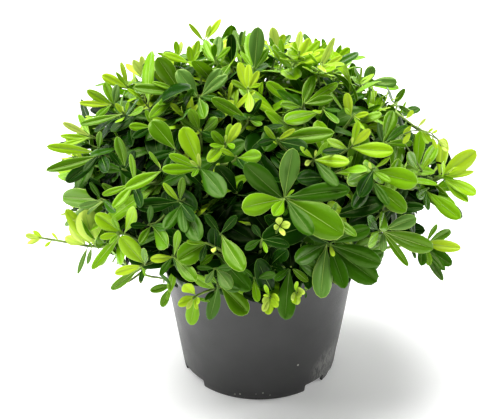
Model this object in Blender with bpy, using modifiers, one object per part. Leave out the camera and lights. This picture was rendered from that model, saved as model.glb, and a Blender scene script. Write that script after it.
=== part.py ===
"""Dwarf pittosporum in a plastic nursery pot: pot, potting mix, trunk, boughs and masses of foliage.

Metres, +Z up. The origin is the middle of the pot's flat underside.
"""

import math
import random

import bmesh
import bpy
from mathutils import Matrix, Vector
from mathutils.bvhtree import BVHTree

# Nursery pot: outside sizes, wall and the skirt that lifts its floor
POT_HEIGHT = 0.140
FOOT_RADIUS = 0.0715
SHOULDER_RADIUS = 0.0925
RIM_RADIUS = 0.0955
RIM_DEPTH = 0.013
RIM_DRAFT = 0.0006
WALL = 0.0015
SKIRT_WALL = 0.0032
FLOOR_LIFT = 0.0085
FLOOR_THICKNESS = 0.0020
PAD_RADIUS = 0.014
EDGE_ROUND = 0.0012
POT_STEPS = 44
NOTCHES = ((-149.0, 28.0), (-44.5, 20.0), (83.0, 24.0))  # azimuth and arc of each
NOTCH_HEIGHT = 0.0078
NOTCH_DEPTH = 0.024
DRAIN_HOLES = 6
DRAIN_RADIUS = 0.0055
DRAIN_CIRCLE = 0.046
DRAIN_SIDES = 12

# Potting mix, with its slight mound
MIX_BELOW_RIM = 0.014
MIX_MOUND = 0.003
MIX_STATIONS = (0.0, 0.35, 0.7, 1.0)
CLEARANCE = 0.0003

# Heart of the crown, where all masses point away from, and the trunk that rises through it
HEART = Vector((-0.002, 0.0, 0.165))
FLARE_RADIUS = 0.0125
TRUNK_RADIUS = 0.0072
TRUNK_TIP_RADIUS = 0.0040
TRUNK_SWAY = 0.0015
FLARE_HEIGHT = 0.012
TRUNK_STATIONS = (0.0, 0.04, 0.09, 0.15, 0.35, 0.55, 0.78, 1.0)

# Boughs: two rings round the trunk, each at two stepped heights above the mix
BOUGH_RADIUS = 0.0034
BOUGH_TIP_RADIUS = 0.0023
BOUGH_POINTS = 6
BOUGH_GAP = 0.0005
LOWER_BOUGHS = (0.017, 0.026)
UPPER_BOUGHS = (0.046, 0.053)

# Crown envelope: how far leaf tips reach from the heart, with slow swells and one fuller shoulder
TOP_REACH = 0.152
SIDE_REACH = 0.184
HEM_REACH = 0.100
SWELL_SHARE = 0.025
FULLER_POLAR = 55.0
FULLER_AZIMUTH = 180.0
FULLER_SHARE = 0.075

# Foliage masses: name of the ring, number in it, angle from the vertical, first azimuth
MASS_RINGS = (
    ("top", 1, 0.0, 0.0),
    ("upper", 5, 50.0, 18.0),
    ("lower", 8, 93.0, 0.0),
)
MASS_MARGIN = 0.0006

# Dense inside of each mass: how far from the heart it starts, how deep it lies, its gap to the mass's walls
CORE_INNER = 0.078
CORE_DEPTH = 0.046
CORE_MARGIN = 0.0012
CORE_LIFT = 0.005
ROOT_SHARE = 0.95
HUB_SHARE = 0.45

# Shoots, evenly spread over the dome
SHOOT_COUNT = 130
LOWEST_SHOOT = 105.0
SHOOT_DEPTH = 0.022
SHOOT_DEPTH_SPREAD = (-0.004, 0.006)
SHOOT_RISE = 0.25
HEM_SHOOT_RISE = -0.05
GOLDEN_ANGLE = math.radians(137.508)
AZIMUTH_SPREAD = 0.09
STEM_RADIUS = 0.0034
TWIG_RADIUS = 0.0026
TWIG_TIP_RADIUS = 0.0022
TWIG_SIDES = 3
SEED = 101

# Leaves of a shoot: the youngest stand close round its tip, the oldest spread wide below
LEAVES_PER_SHOOT = 6
LEAF_LENGTH = 0.050
LEAF_WIDTH = 0.0225
YOUNG_SHARE = 0.82
OLD_SHARE = 1.04
LENGTH_SPREAD = (0.92, 1.08)
YOUNG_SPREAD = 42.0
OLD_SPREAD = 80.0
TURN_SPREAD = 0.25
LEAF_THICKNESS_SHARE = 0.018
LEAF_DROOP = 0.16
LEAF_FOLD = 0.20
LEAF_ROOT_SUNK = 0.0016
LEAF_STEP = 0.0030
LEAF_TUCKS = (1.0, 0.8, 0.6, 0.45)
LEAF_SHIFTS = (0.0, 0.35, -0.35)
TUCKED_SHARE = 0.6

# Leaf outline, root, one side, blunt tip, other side: share of length, share of width
LEAF_OUTLINE = ((0.0, 0.0), (0.62, -0.5), (0.94, -0.24), (0.94, 0.24), (0.62, 0.5))
LEAF_CENTRE = 0.55

# Long shoots that stand out of the dome: tip of the shoot
LONG_SHOOTS = (
    Vector((-0.178, -0.056, 0.160)),
    Vector((-0.040, 0.020, 0.303)),
    Vector((0.172, 0.000, 0.196)),
    Vector((-0.170, -0.016, 0.200)),
    Vector((0.148, -0.082, 0.157)),
    Vector((-0.112, -0.096, 0.140)),
)
LONG_SHOOT_SPREAD = 0.62
LONG_SHOOT_LEAF = 0.85

# Hem of the crown: lowest leaf at the pot, how fast that line rises outwards, and the gap kept to the pot
LOWEST_LEAF = 0.118
HEM_START = 0.110
HEM_SLOPE = 0.32
POT_CLEARANCE = 0.0025

POT_GREY = (0.055, 0.055, 0.055, 1.0)
MIX_BROWN = (0.035, 0.022, 0.014, 1.0)
BARK = (0.16, 0.13, 0.085, 1.0)
LEAF_GREENS = ((0.11, 0.26, 0.03, 1.0), (0.06, 0.17, 0.025, 1.0), (0.17, 0.36, 0.04, 1.0))


def clear_scene():
    for obj in list(bpy.data.objects):
        bpy.data.objects.remove(obj, do_unlink=True)


def collection(name):
    made = bpy.data.collections.new(name)
    bpy.context.scene.collection.children.link(made)
    return made


def material(name, colour, roughness):
    made = bpy.data.materials.new(name)
    made.use_nodes = True
    shader = made.node_tree.nodes["Principled BSDF"]
    shader.inputs["Base Color"].default_value = colour
    shader.inputs["Roughness"].default_value = roughness
    shader.inputs["Metallic"].default_value = 0.0
    return made


def object_from(bm, name, home, skin=None):
    mesh = bpy.data.meshes.new(name)
    bm.to_mesh(mesh)
    bm.free()
    if skin:
        mesh.materials.append(skin)
    made = bpy.data.objects.new(name, mesh)
    home.objects.link(made)
    return made


def baked(obj):
    """The object's evaluated shape as a plain mesh, its modifiers used up."""
    graph = bpy.context.evaluated_depsgraph_get()
    mesh = bpy.data.meshes.new_from_object(obj.evaluated_get(graph))
    obj.modifiers.clear()
    obj.data = mesh
    return obj


def turned(name, profile, home, skin):
    """A solid of revolution about Z from a closed (radius, height) profile, down its outer side."""
    bm = bmesh.new()
    points = [bm.verts.new((radius, 0.0, height)) for radius, height in profile]
    for first, second in zip(points, points[1:]):
        bm.edges.new((first, second))
    made = object_from(bm, name, home, skin)
    screw = made.modifiers.new("Turn", "SCREW")
    screw.axis = "Z"
    screw.steps = POT_STEPS
    screw.render_steps = POT_STEPS
    screw.use_merge_vertices = True
    screw.merge_threshold = 0.00001
    screw.use_smooth_shade = False
    return baked(made)


def cut(target, cutters):
    modifier = target.modifiers.new("Cut", "BOOLEAN")
    modifier.operation = "DIFFERENCE"
    modifier.operand_type = "COLLECTION"
    modifier.collection = cutters
    return baked(target)


def outer_radius(height):
    """The pot wall's outside radius at a height, without its rim."""
    return FOOT_RADIUS + (SHOULDER_RADIUS - FOOT_RADIUS) * height / POT_HEIGHT


def build_pot(home, cutters, skin):
    floor_top = FLOOR_LIFT + FLOOR_THICKNESS
    rim_foot = POT_HEIGHT - RIM_DEPTH
    mouth = outer_radius(POT_HEIGHT) - WALL
    profile = [
        (0.0, floor_top),
        (outer_radius(floor_top) - WALL, floor_top),
        (mouth, POT_HEIGHT - EDGE_ROUND),
        (mouth + EDGE_ROUND, POT_HEIGHT),
        (RIM_RADIUS - EDGE_ROUND, POT_HEIGHT),
        (RIM_RADIUS, POT_HEIGHT - EDGE_ROUND),
        (RIM_RADIUS - RIM_DRAFT, rim_foot),
        (outer_radius(rim_foot), rim_foot - EDGE_ROUND),
        (outer_radius(2 * EDGE_ROUND), 2 * EDGE_ROUND),
        (FOOT_RADIUS - EDGE_ROUND, 0.0),
        (FOOT_RADIUS - SKIRT_WALL, 0.0),
        (FOOT_RADIUS - SKIRT_WALL, FLOOR_LIFT),
        (PAD_RADIUS + EDGE_ROUND, FLOOR_LIFT),
        (PAD_RADIUS, 0.0),
        (0.0, 0.0),
    ]
    pot = turned("pot", profile, home, skin)
    add_notch_cutters(cutters)
    add_drain_cutters(cutters)
    return cut(pot, cutters)


def add_notch_cutters(cutters):
    """Three shallow notches in the skirt, which let water out from under the floor."""
    for number, (azimuth, arc) in enumerate(NOTCHES, 1):
        width = 2 * FOOT_RADIUS * math.sin(math.radians(arc / 2))
        turn = Matrix.Rotation(math.radians(azimuth), 4, "Z")
        bm = bmesh.new()
        bmesh.ops.create_cube(bm, size=1.0)
        bmesh.ops.scale(bm, vec=(NOTCH_DEPTH, width, 2 * NOTCH_HEIGHT), verts=bm.verts)
        bmesh.ops.translate(bm, vec=(FOOT_RADIUS, 0.0, 0.0), verts=bm.verts)
        bmesh.ops.transform(bm, matrix=turn, verts=bm.verts)
        hide_cutter(object_from(bm, f"notch_{number}", cutters))


def add_drain_cutters(cutters):
    for number in range(DRAIN_HOLES):
        angle = math.tau * (number + 0.5) / DRAIN_HOLES
        place = Vector((math.cos(angle), math.sin(angle), 0.0)) * DRAIN_CIRCLE
        place.z = FLOOR_LIFT
        bm = bmesh.new()
        bmesh.ops.create_cone(
            bm, cap_ends=True, segments=DRAIN_SIDES, radius1=DRAIN_RADIUS, radius2=DRAIN_RADIUS,
            depth=4 * FLOOR_THICKNESS, matrix=Matrix.Translation(place),
        )
        hide_cutter(object_from(bm, f"drain_{number + 1}", cutters))


def hide_cutter(obj):
    obj.hide_render = True
    obj.display_type = "WIRE"


def mix_top(radius):
    """Height of the potting mix at a distance from the pot's middle."""
    edge = outer_radius(POT_HEIGHT - MIX_BELOW_RIM) - WALL
    return POT_HEIGHT - MIX_BELOW_RIM + MIX_MOUND * (1 - (radius / edge) ** 2)


def build_mix(home, skin):
    low = FLOOR_LIFT + FLOOR_THICKNESS + CLEARANCE
    wide = outer_radius(POT_HEIGHT - MIX_BELOW_RIM) - WALL - 2 * CLEARANCE
    narrow = outer_radius(low) - WALL - 2 * CLEARANCE
    profile = [(wide * share, mix_top(wide * share)) for share in MIX_STATIONS]
    profile += [(narrow, low), (0.0, low)]
    return turned("potting_mix", profile, home, skin)


def limb(name, points, radii, home, skin):
    """One tapering limb along the points, with flat ends."""
    curve = bpy.data.curves.new(name, "CURVE")
    curve.dimensions = "3D"
    curve.bevel_depth = 1.0
    curve.bevel_resolution = 1
    curve.use_fill_caps = True
    curve.materials.append(skin)
    spline = curve.splines.new("POLY")
    spline.points.add(len(points) - 1)
    for station, place, radius in zip(spline.points, points, radii):
        station.co = (*place, 1.0)
        station.radius = radius
    made = bpy.data.objects.new(name, curve)
    home.objects.link(made)
    return made


def trunk_foot():
    return mix_top(0.0) + CLEARANCE


def trunk_tip():
    return HEART.z + CORE_INNER * ROOT_SHARE - CLEARANCE


def trunk_line(height):
    """Middle of the trunk at a height: upright at its foot, it leans and sways a little further up."""
    share = (height - trunk_foot()) / (trunk_tip() - trunk_foot())
    return Vector((HEART.x * share**2, TRUNK_SWAY * math.sin(math.pi * share) ** 2, height))


def trunk_radius(height):
    taper = (height - trunk_foot()) / (trunk_tip() - trunk_foot())
    flare = max(0.0, 1 - (height - trunk_foot()) / FLARE_HEIGHT)
    straight = TRUNK_RADIUS + (TRUNK_TIP_RADIUS - TRUNK_RADIUS) * taper
    return straight + (FLARE_RADIUS - TRUNK_RADIUS) * flare**2


def build_trunk(home, skin):
    """The trunk, from its flat cut at the mix to just under the stem of the top mass."""
    rise = trunk_tip() - trunk_foot()
    heights = [trunk_foot() + rise * share for share in TRUNK_STATIONS]
    points = [trunk_line(height) for height in heights]
    return limb("trunk", points, [trunk_radius(height) for height in heights], home, skin)


class Mass:
    """One mass of foliage: the cone of space round its aim, seen from the crown's heart."""

    def __init__(self, name, aim):
        self.name = name
        self.aim = aim
        self.root = HEART + aim * CORE_INNER * ROOT_SHARE
        self.walls = []

    def set_walls(self, masses):
        for other in masses:
            if other is not self:
                self.walls.append((self.aim - other.aim).normalized())

    def holds(self, point, margin):
        offset = point - HEART
        return all(offset.dot(wall) > margin for wall in self.walls)


def direction(polar, azimuth):
    return Vector((
        math.sin(polar) * math.cos(azimuth),
        math.sin(polar) * math.sin(azimuth),
        math.cos(polar),
    ))


def make_masses():
    masses = []
    for ring, count, polar, first in MASS_RINGS:
        for number in range(count):
            azimuth = math.radians(first + 360.0 * number / count)
            name = ring if count == 1 else f"{ring}_{number + 1}"
            masses.append(Mass(name, direction(math.radians(polar), azimuth)))
    for mass in masses:
        mass.set_walls(masses)
    return masses


def reach(aim):
    """How far the crown's outline lies from its heart that way."""
    rise = TOP_REACH if aim.z > 0 else HEM_REACH
    level = math.hypot(aim.x, aim.y)
    smooth = 1 / math.hypot(level / SIDE_REACH, aim.z / rise)
    azimuth = math.atan2(aim.y, aim.x)
    swell = SWELL_SHARE * math.sin(3 * azimuth + 0.6) * math.sin(5 * aim.z + 1.0)
    fuller = direction(math.radians(FULLER_POLAR), math.radians(FULLER_AZIMUTH))
    shoulder = FULLER_SHARE * max(0.0, aim.dot(fuller)) ** 4
    return smooth * (1 + swell + shoulder)


def build_boughs(masses, home, skin):
    """One bough to each mass but the top one, set round the trunk at stepped heights."""
    for number, mass in enumerate(masses):
        if mass.name == "top":
            continue
        rises = LOWER_BOUGHS if mass.name.startswith("lower") else UPPER_BOUGHS
        height = mix_top(0.0) + rises[number % 2]
        level = Vector((mass.aim.x, mass.aim.y, 0.0)).normalized()
        start = trunk_line(height) + level * (trunk_radius(height) + BOUGH_GAP)
        points = bough_line(start, level, mass.root - mass.aim * CLEARANCE, mass.aim)
        thinner = (BOUGH_TIP_RADIUS - BOUGH_RADIUS) / (BOUGH_POINTS - 1)
        radii = [BOUGH_RADIUS + thinner * step for step in range(BOUGH_POINTS)]
        limb(f"bough_{mass.name}", points, radii, home, skin)


def bough_line(start, leave, end, arrive):
    """Points of a smooth limb that leaves the trunk level and meets its mass end on."""
    span = (end - start).length / 3
    controls = (start, start + leave * span, end - arrive * span, end)
    points = []
    for step in range(BOUGH_POINTS):
        share = step / (BOUGH_POINTS - 1)
        weights = (
            (1 - share) ** 3,
            3 * share * (1 - share) ** 2,
            3 * share**2 * (1 - share),
            share**3,
        )
        points.append(sum((c * w for c, w in zip(controls, weights)), Vector()))
    return points


class Shoot:
    """A leafy shoot: its tip, the way it points, how far its leaves spread and their share of full length."""

    def __init__(self, tip, axis, spread, leaf_share, seed):
        self.tip = tip
        self.axis = axis
        self.spread = spread
        self.leaf_share = leaf_share
        self.dice = random.Random(seed)


def crown_shoots():
    """Even shoots over the dome on a golden-angle spiral, then the long shoots."""
    dice = random.Random(SEED)
    lowest = math.cos(math.radians(LOWEST_SHOOT))
    shoots = []
    for number in range(SHOOT_COUNT):
        height = 1 - (1 - lowest) * (number + 0.5) / SHOOT_COUNT
        azimuth = number * GOLDEN_ANGLE + dice.uniform(-AZIMUTH_SPREAD, AZIMUTH_SPREAD)
        aim = direction(math.acos(height), azimuth)
        depth = SHOOT_DEPTH + dice.uniform(*SHOOT_DEPTH_SPREAD)
        tip = HEART + aim * (reach(aim) - depth)
        rise = SHOOT_RISE if aim.z > -0.1 else HEM_SHOOT_RISE
        axis = (aim + Vector((0.0, 0.0, rise))).normalized()
        shoots.append(Shoot(tip, axis, dice.uniform(0.9, 1.1), 1.0, SEED + number))
    for number, tip in enumerate(LONG_SHOOTS):
        aim = (tip - HEART).normalized()
        seed = SEED + SHOOT_COUNT + number
        shoots.append(Shoot(tip, aim, LONG_SHOOT_SPREAD, LONG_SHOOT_LEAF, seed))
    return shoots


def mass_of(point, masses):
    aim = (point - HEART).normalized()
    return max(masses, key=lambda mass: aim.dot(mass.aim))


def frame_at(root, along, face):
    side = face.cross(along).normalized()
    face = along.cross(side).normalized()
    matrix = Matrix((along, side, face)).transposed().to_4x4()
    matrix.translation = root
    return matrix


def leaf_points(length, width):
    """The leaf's five outline points and its two faces' middles, in its own frame."""
    outline = []
    for along, across in LEAF_OUTLINE:
        lift = LEAF_FOLD * width * abs(across) - LEAF_DROOP * length * along**2
        outline.append(Vector((along * length, across * width, lift)))
    middle = -LEAF_DROOP * length * LEAF_CENTRE**2
    half = LEAF_THICKNESS_SHARE * length / 2
    upper = Vector((LEAF_CENTRE * length, 0.0, middle + half))
    lower = Vector((LEAF_CENTRE * length, 0.0, middle - half))
    return outline, upper, lower


def clear_of_pot(point):
    """True above the hem of the crown and outside the pot."""
    level = math.hypot(point.x, point.y)
    if point.z < LOWEST_LEAF + HEM_SLOPE * max(0.0, level - HEM_START):
        return False
    return point.z > POT_HEIGHT + POT_CLEARANCE or level > RIM_RADIUS + POT_CLEARANCE


def leaf_fits(frame, length, width, mass):
    """True if the leaf stays in its mass's own space, its whole length clear of the pot."""
    outline, upper, lower = leaf_points(length, width)
    placed = [frame @ point for point in (*outline, upper, lower)]
    if not all(mass.holds(point, MASS_MARGIN) for point in placed):
        return False
    root = placed[0]
    return all(
        clear_of_pot(root.lerp(point, share))
        for point in placed[1:]
        for share in (0.25, 0.5, 0.75, 1.0)
    )


def leaf_solid(frame, length, width):
    """A thin closed blade with a wedge foot, a blunt tip and a folded midrib."""
    outline, upper, lower = leaf_points(length, width)
    bm = bmesh.new()
    bmesh.ops.create_uvsphere(bm, u_segments=len(outline), v_segments=2, radius=1.0)
    for vert in bm.verts:
        if abs(vert.co.z) > 0.5:
            vert.co = upper if vert.co.z > 0 else lower
        else:
            turn = math.atan2(vert.co.y, vert.co.x) % math.tau
            vert.co = outline[round(turn / math.tau * len(outline)) % len(outline)]
    bmesh.ops.transform(bm, matrix=frame, verts=bm.verts)
    return bm


def stick(start, end, radius, tip_radius):
    """A tapering three-sided twig between two points."""
    along = end - start
    turn = along.to_track_quat("Z", "X").to_matrix().to_4x4()
    bm = bmesh.new()
    bmesh.ops.create_cone(
        bm, cap_ends=True, segments=TWIG_SIDES, radius1=radius, radius2=tip_radius,
        depth=along.length, matrix=Matrix.Translation((start + end) / 2) @ turn,
    )
    return bm


def core_solid(mass):
    """The dense inside of a mass: the part of a smaller dome that lies between the mass's own walls."""
    bm = bmesh.new()
    bmesh.ops.create_icosphere(bm, subdivisions=4, radius=1.0)
    for vert in bm.verts:
        aim = vert.co.normalized()
        vert.co = HEART + aim * (reach(aim) - CORE_DEPTH)
    trim(bm, HEART + mass.aim * CORE_INNER, mass.aim)
    trim(bm, Vector((0.0, 0.0, POT_HEIGHT + CORE_LIFT)), Vector((0.0, 0.0, 1.0)))
    for wall in mass.walls:
        trim(bm, HEART + wall * CORE_MARGIN, wall)
    return bm


def trim(bm, place, inward):
    """Cuts off what lies behind a plane and closes the cut."""
    whole = [*bm.verts, *bm.edges, *bm.faces]
    sliced = bmesh.ops.bisect_plane(
        bm, geom=whole, dist=1e-6, plane_co=place, plane_no=inward, clear_inner=True
    )
    rim = [item for item in sliced["geom_cut"] if isinstance(item, bmesh.types.BMEdge)]
    if rim:
        bmesh.ops.holes_fill(bm, edges=rim)


def leaf_tries(shoot, number):
    """Frames and sizes for one leaf of a shoot, oldest first, each try turned or tucked in a little more."""
    age = 1 - number / (LEAVES_PER_SHOOT - 1)
    turn = number * GOLDEN_ANGLE + shoot.dice.uniform(-TURN_SPREAD, TURN_SPREAD)
    share = YOUNG_SHARE + (OLD_SHARE - YOUNG_SHARE) * age
    length = LEAF_LENGTH * shoot.leaf_share * share * shoot.dice.uniform(*LENGTH_SPREAD)
    spread = math.radians(YOUNG_SPREAD + (OLD_SPREAD - YOUNG_SPREAD) * age) * shoot.spread
    root = shoot.tip - shoot.axis * LEAF_STEP * (LEAVES_PER_SHOOT - 0.5 - number)
    for tuck in LEAF_TUCKS:
        for shift in LEAF_SHIFTS:
            away = Matrix.Rotation(turn + shift, 3, shoot.axis) @ shoot.axis.orthogonal().normalized()
            lean = spread * tuck
            along = shoot.axis * math.cos(lean) + away * math.sin(lean)
            face = shoot.axis * math.sin(lean) - away * math.cos(lean)
            size = length * (TUCKED_SHARE + (1 - TUCKED_SHARE) * tuck)
            frame = frame_at(root - along * LEAF_ROOT_SUNK, along, face)
            yield frame, size, LEAF_WIDTH * size / LEAF_LENGTH


def fuse(name, base, others, home, skin):
    """Joins a stem with everything that grows from it and drops loose scraps."""
    pieces = collection(f"{name}_pieces")
    for number, bm in enumerate(others):
        object_from(bm, f"{name}_piece_{number}", pieces)
    joined = object_from(base, name, home, skin)
    union = joined.modifiers.new("Join", "BOOLEAN")
    union.operation = "UNION"
    union.operand_type = "COLLECTION"
    union.collection = pieces
    union.solver = "MANIFOLD"
    baked(joined)
    joined.data.materials.clear()
    joined.data.materials.append(skin)
    for piece in list(pieces.objects):
        bpy.data.objects.remove(piece, do_unlink=True)
    bpy.data.collections.remove(pieces)
    keep_largest(joined.data)
    return joined


def keep_largest(mesh):
    """Leaves the one body that holds most faces, so that scraps and sealed hollows go."""
    bm = bmesh.new()
    bm.from_mesh(mesh)
    left = set(bm.faces)
    islands = []
    while left:
        island = set()
        waiting = [left.pop()]
        while waiting:
            face = waiting.pop()
            island.add(face)
            for edge in face.edges:
                for other in edge.link_faces:
                    if other in left:
                        left.remove(other)
                        waiting.append(other)
        islands.append(island)
    islands.sort(key=len, reverse=True)
    scraps = [face for island in islands[1:] for face in island]
    bmesh.ops.delete(bm, geom=scraps, context="FACES")
    bm.to_mesh(mesh)
    bm.free()


def build_mass(mass, shoots, home, skin):
    """Stem, twigs and leaves of one mass round its core, as one solid. No leaf crosses another shoot."""
    core_height = reach(mass.aim) - CORE_DEPTH - CORE_INNER
    hub = HEART + mass.aim * (CORE_INNER + core_height * HUB_SHARE)
    stem = stick(mass.root, hub, STEM_RADIUS, TWIG_RADIUS)
    core = core_solid(mass)
    others = [core]
    taken = [(None, BVHTree.FromBMesh(core))]
    for shoot in shoots:
        twig = stick(hub, shoot.tip, TWIG_RADIUS, TWIG_TIP_RADIUS)
        others.append(twig)
        taken.append((shoot, BVHTree.FromBMesh(twig)))
    leaves = 0
    for number in range(LEAVES_PER_SHOOT):
        for shoot in shoots:
            for frame, length, width in leaf_tries(shoot, number):
                if not leaf_fits(frame, length, width, mass):
                    continue
                leaf = leaf_solid(frame, length, width)
                shape = BVHTree.FromBMesh(leaf)
                if any(owner is not shoot and shape.overlap(tree) for owner, tree in taken):
                    leaf.free()
                    continue
                others.append(leaf)
                taken.append((shoot, shape))
                leaves += 1
                break
    fuse(f"foliage_{mass.name}", stem, others, home, skin)
    return leaves


def main():
    clear_scene()
    home = collection("potted_pittosporum")
    cutters = collection("cutters")
    bark = material("bark", BARK, 0.8)
    greens = [
        material(f"leaves_{number + 1}", colour, 0.4)
        for number, colour in enumerate(LEAF_GREENS)
    ]
    build_pot(home, cutters, material("pot_plastic", POT_GREY, 0.45))
    build_mix(home, material("potting_mix", MIX_BROWN, 0.95))
    build_trunk(home, bark)
    masses = make_masses()
    build_boughs(masses, home, bark)
    shoots = crown_shoots()
    leaves = 0
    for number, mass in enumerate(masses):
        own = [shoot for shoot in shoots if mass_of(shoot.tip, masses) is mass]
        leaves += build_mass(mass, own, home, greens[number % len(greens)])
    print(len(shoots), "shoots and", leaves, "leaves")


main()
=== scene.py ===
"""Dwarf pittosporum in its nursery pot, dressed for the studio.

Metres, +Z up, the photograph's front towards -Y. The origin is the middle of the pot's flat underside.
"""

import math
import random
from functools import reduce

import bmesh
import bpy
from mathutils import Matrix, Vector
from mathutils.bvhtree import BVHTree


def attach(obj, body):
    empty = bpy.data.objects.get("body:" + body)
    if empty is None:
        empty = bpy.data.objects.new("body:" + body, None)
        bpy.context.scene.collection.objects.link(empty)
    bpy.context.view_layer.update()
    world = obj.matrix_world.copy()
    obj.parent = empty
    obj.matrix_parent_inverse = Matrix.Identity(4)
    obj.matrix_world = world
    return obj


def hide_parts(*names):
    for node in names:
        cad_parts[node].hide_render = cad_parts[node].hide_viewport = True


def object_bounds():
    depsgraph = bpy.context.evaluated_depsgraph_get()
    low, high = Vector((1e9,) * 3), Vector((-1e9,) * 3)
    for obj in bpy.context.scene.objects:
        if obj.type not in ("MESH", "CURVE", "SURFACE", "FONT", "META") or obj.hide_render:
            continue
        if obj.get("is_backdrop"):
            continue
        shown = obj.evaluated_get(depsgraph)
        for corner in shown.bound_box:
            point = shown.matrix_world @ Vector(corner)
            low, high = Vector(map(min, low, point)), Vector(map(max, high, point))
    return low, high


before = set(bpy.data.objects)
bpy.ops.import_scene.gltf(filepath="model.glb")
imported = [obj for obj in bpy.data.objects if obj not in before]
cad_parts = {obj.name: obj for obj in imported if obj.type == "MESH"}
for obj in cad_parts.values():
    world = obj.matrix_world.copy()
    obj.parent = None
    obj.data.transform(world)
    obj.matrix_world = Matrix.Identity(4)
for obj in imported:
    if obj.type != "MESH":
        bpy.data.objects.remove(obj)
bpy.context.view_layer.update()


# Nursery pot
# A thin polypropylene pot, injection moulded in one piece. Its floor stands on a skirt with three
# notches, and water leaves through six holes in the floor. A knock has creased the foot at the right.

POT_HEIGHT = 0.140
FOOT_RADIUS = 0.0715
SHOULDER_RADIUS = 0.0925
RIM_RADIUS = 0.0955
RIM_DEPTH = 0.013
WALL = 0.0015
SKIRT_WALL = 0.0032
FLOOR_LIFT = 0.0085
FLOOR_THICKNESS = 0.0020
PAD_RADIUS = 0.014
LIP_ROUND = 0.0007
LIP_CORNER = 0.3
RIM_TAPER = 0.0006
RIM_UNDERCUT = 0.0011
RIM_FILLET = (0.0002, 0.0004)
WALL_START = 0.002
FOOT_ROUND = 0.0014
FOOT_CORNER = (0.3, 0.25)
PAD_FLARE = 0.0012
POT_STEPS = 144
WALL_RINGS = 30
# Each notch's azimuth and arc, in degrees.
NOTCHES = ((-149.0, 28.0), (-44.5, 20.0), (83.0, 24.0))
NOTCH_HEIGHT = 0.0078
NOTCH_DEPTH = 0.024
NOTCH_ROUND = 0.0012
NOTCH_ROUND_STEPS = 3
DRAIN_HOLES = 6
DRAIN_RADIUS = 0.0055
DRAIN_CIRCLE = 0.046
DRAIN_SIDES = 28
CREASE_AZIMUTH = -20.0
CREASE_HEIGHT = 0.012
CREASE_REACH = 0.023
CREASE_DEPTH = 0.0020
CREASE_RIPPLE = 0.25
RIPPLES_UP = 700
RIPPLES_ROUND = 420
SCUFF_TURN = -12.0
SCUFF_RISE = 0.006
SCUFF_SLANT = 35
SCUFF_CORE = 0.004
SCUFF_REACH = 1.15
SCUFF_COVER = 0.75
SCUFF_ROUGH = 2.5
# Painted shade: the lowest millimetres of the wall darken towards the floor, where the foot's underside lies
# in shadow.
FOOT_PAINTED_SHADE = (0.0006, 0.0022)
SPOT_CORE = 0.35
POT_SHARP = 38
POT_ROUGHNESS = 0.42
# Noise is its scale, its detail and its roughness, and tones are the stops of a ramp over it.
POT_CLOUDS = (22, 4)
POT_SHEEN = (34, 5)
POT_GRAIN = (1400, 3)
POT_GRAIN_DEPTH = 0.00012
SCRATCHES = (480, 4, 0.6)
SCRATCH_STRETCH = (1.0, 1.0, 0.3)
POT_GREY = (0.0235, 0.0235, 0.0235, 1.0)
POT_PALE = (0.033, 0.033, 0.033, 1.0)
SCUFF_GREY = (0.30, 0.30, 0.28, 1.0)
DUST_WHITE = (0.50, 0.52, 0.44, 1.0)
# The near-black of the dark specks, and of the painted shade at the foot.
SPECK_AND_FOOT_SHADE_DARK = (0.006, 0.006, 0.005, 1.0)
CLOUD_TONES = ((0.35, POT_GREY), (0.70, POT_PALE))
SCRATCH_TONES = ((0.44, 0.0), (0.56, 1.0))
SHEEN_TONES = ((0.30, 0.36), (0.72, 0.50))
# Each spot's azimuth in degrees, its height and its size.
DUST_SPOTS = (
    (-62.9, 0.0366, 0.0011), (-107.9, 0.0048, 0.0007), (-104.0, 0.0059, 0.0010), (-87.3, 0.0088, 0.0008),
    (-82.2, 0.0058, 0.0006), (-92.3, 0.0076, 0.0005), (34.0, 0.0210, 0.0008), (121.0, 0.0130, 0.0009),
)
DARK_SPECKS = (
    (-32.3, 0.0379, 0.0012), (-31.7, 0.0293, 0.0010), (-36.8, 0.0344, 0.0008), (-29.1, 0.0307, 0.0007),
)


def outer_radius(height):
    """The wall's outside radius at a height, without the rim."""
    return FOOT_RADIUS + (SHOULDER_RADIUS - FOOT_RADIUS) * height / POT_HEIGHT


def set_up(name, data):
    """An object of its own, in the scene, for a mesh, a curve, a lamp or a camera."""
    made = bpy.data.objects.new(name, data)
    bpy.context.scene.collection.objects.link(made)
    return made


def object_from(bm, name):
    mesh = bpy.data.meshes.new(name)
    bm.to_mesh(mesh)
    bm.free()
    return set_up(name, mesh)


def used_up(obj):
    """Turns the object's evaluated shape into its own plain mesh."""
    graph = bpy.context.evaluated_depsgraph_get()
    mesh = bpy.data.meshes.new_from_object(obj.evaluated_get(graph))
    name = obj.name
    bpy.data.objects.remove(obj, do_unlink=True)
    mesh.name = name
    return set_up(name, mesh)


def face_rank(face, count):
    """A number of its own for each face, so that the faces come in the same order in every run."""
    corners = [corner.index for corner in face.verts]
    return min(corners) * count + max(corners)


def lathed(profile, steps, name):
    """A closed solid of revolution about Z from a profile that starts and ends on the axis."""
    bm = bmesh.new()
    points = [bm.verts.new((radius, 0.0, height)) for radius, height in profile]
    edges = [bm.edges.new(pair) for pair in zip(points, points[1:])]
    bmesh.ops.spin(
        bm, geom=[*points, *edges], cent=(0, 0, 0), axis=(0, 0, 1), angle=math.tau, steps=steps,
        use_merge=True,
    )
    bmesh.ops.remove_doubles(bm, verts=bm.verts, dist=1e-6)
    bmesh.ops.recalc_face_normals(bm, faces=bm.faces)
    bm.verts.index_update()
    bm.faces.sort(key=lambda face: face_rank(face, len(bm.verts)))
    return object_from(bm, name)


def soft_shaded(obj, sharp_angle):
    obj.data.shade_smooth()
    obj.data.set_sharp_from_angle(angle=math.radians(sharp_angle))


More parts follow.
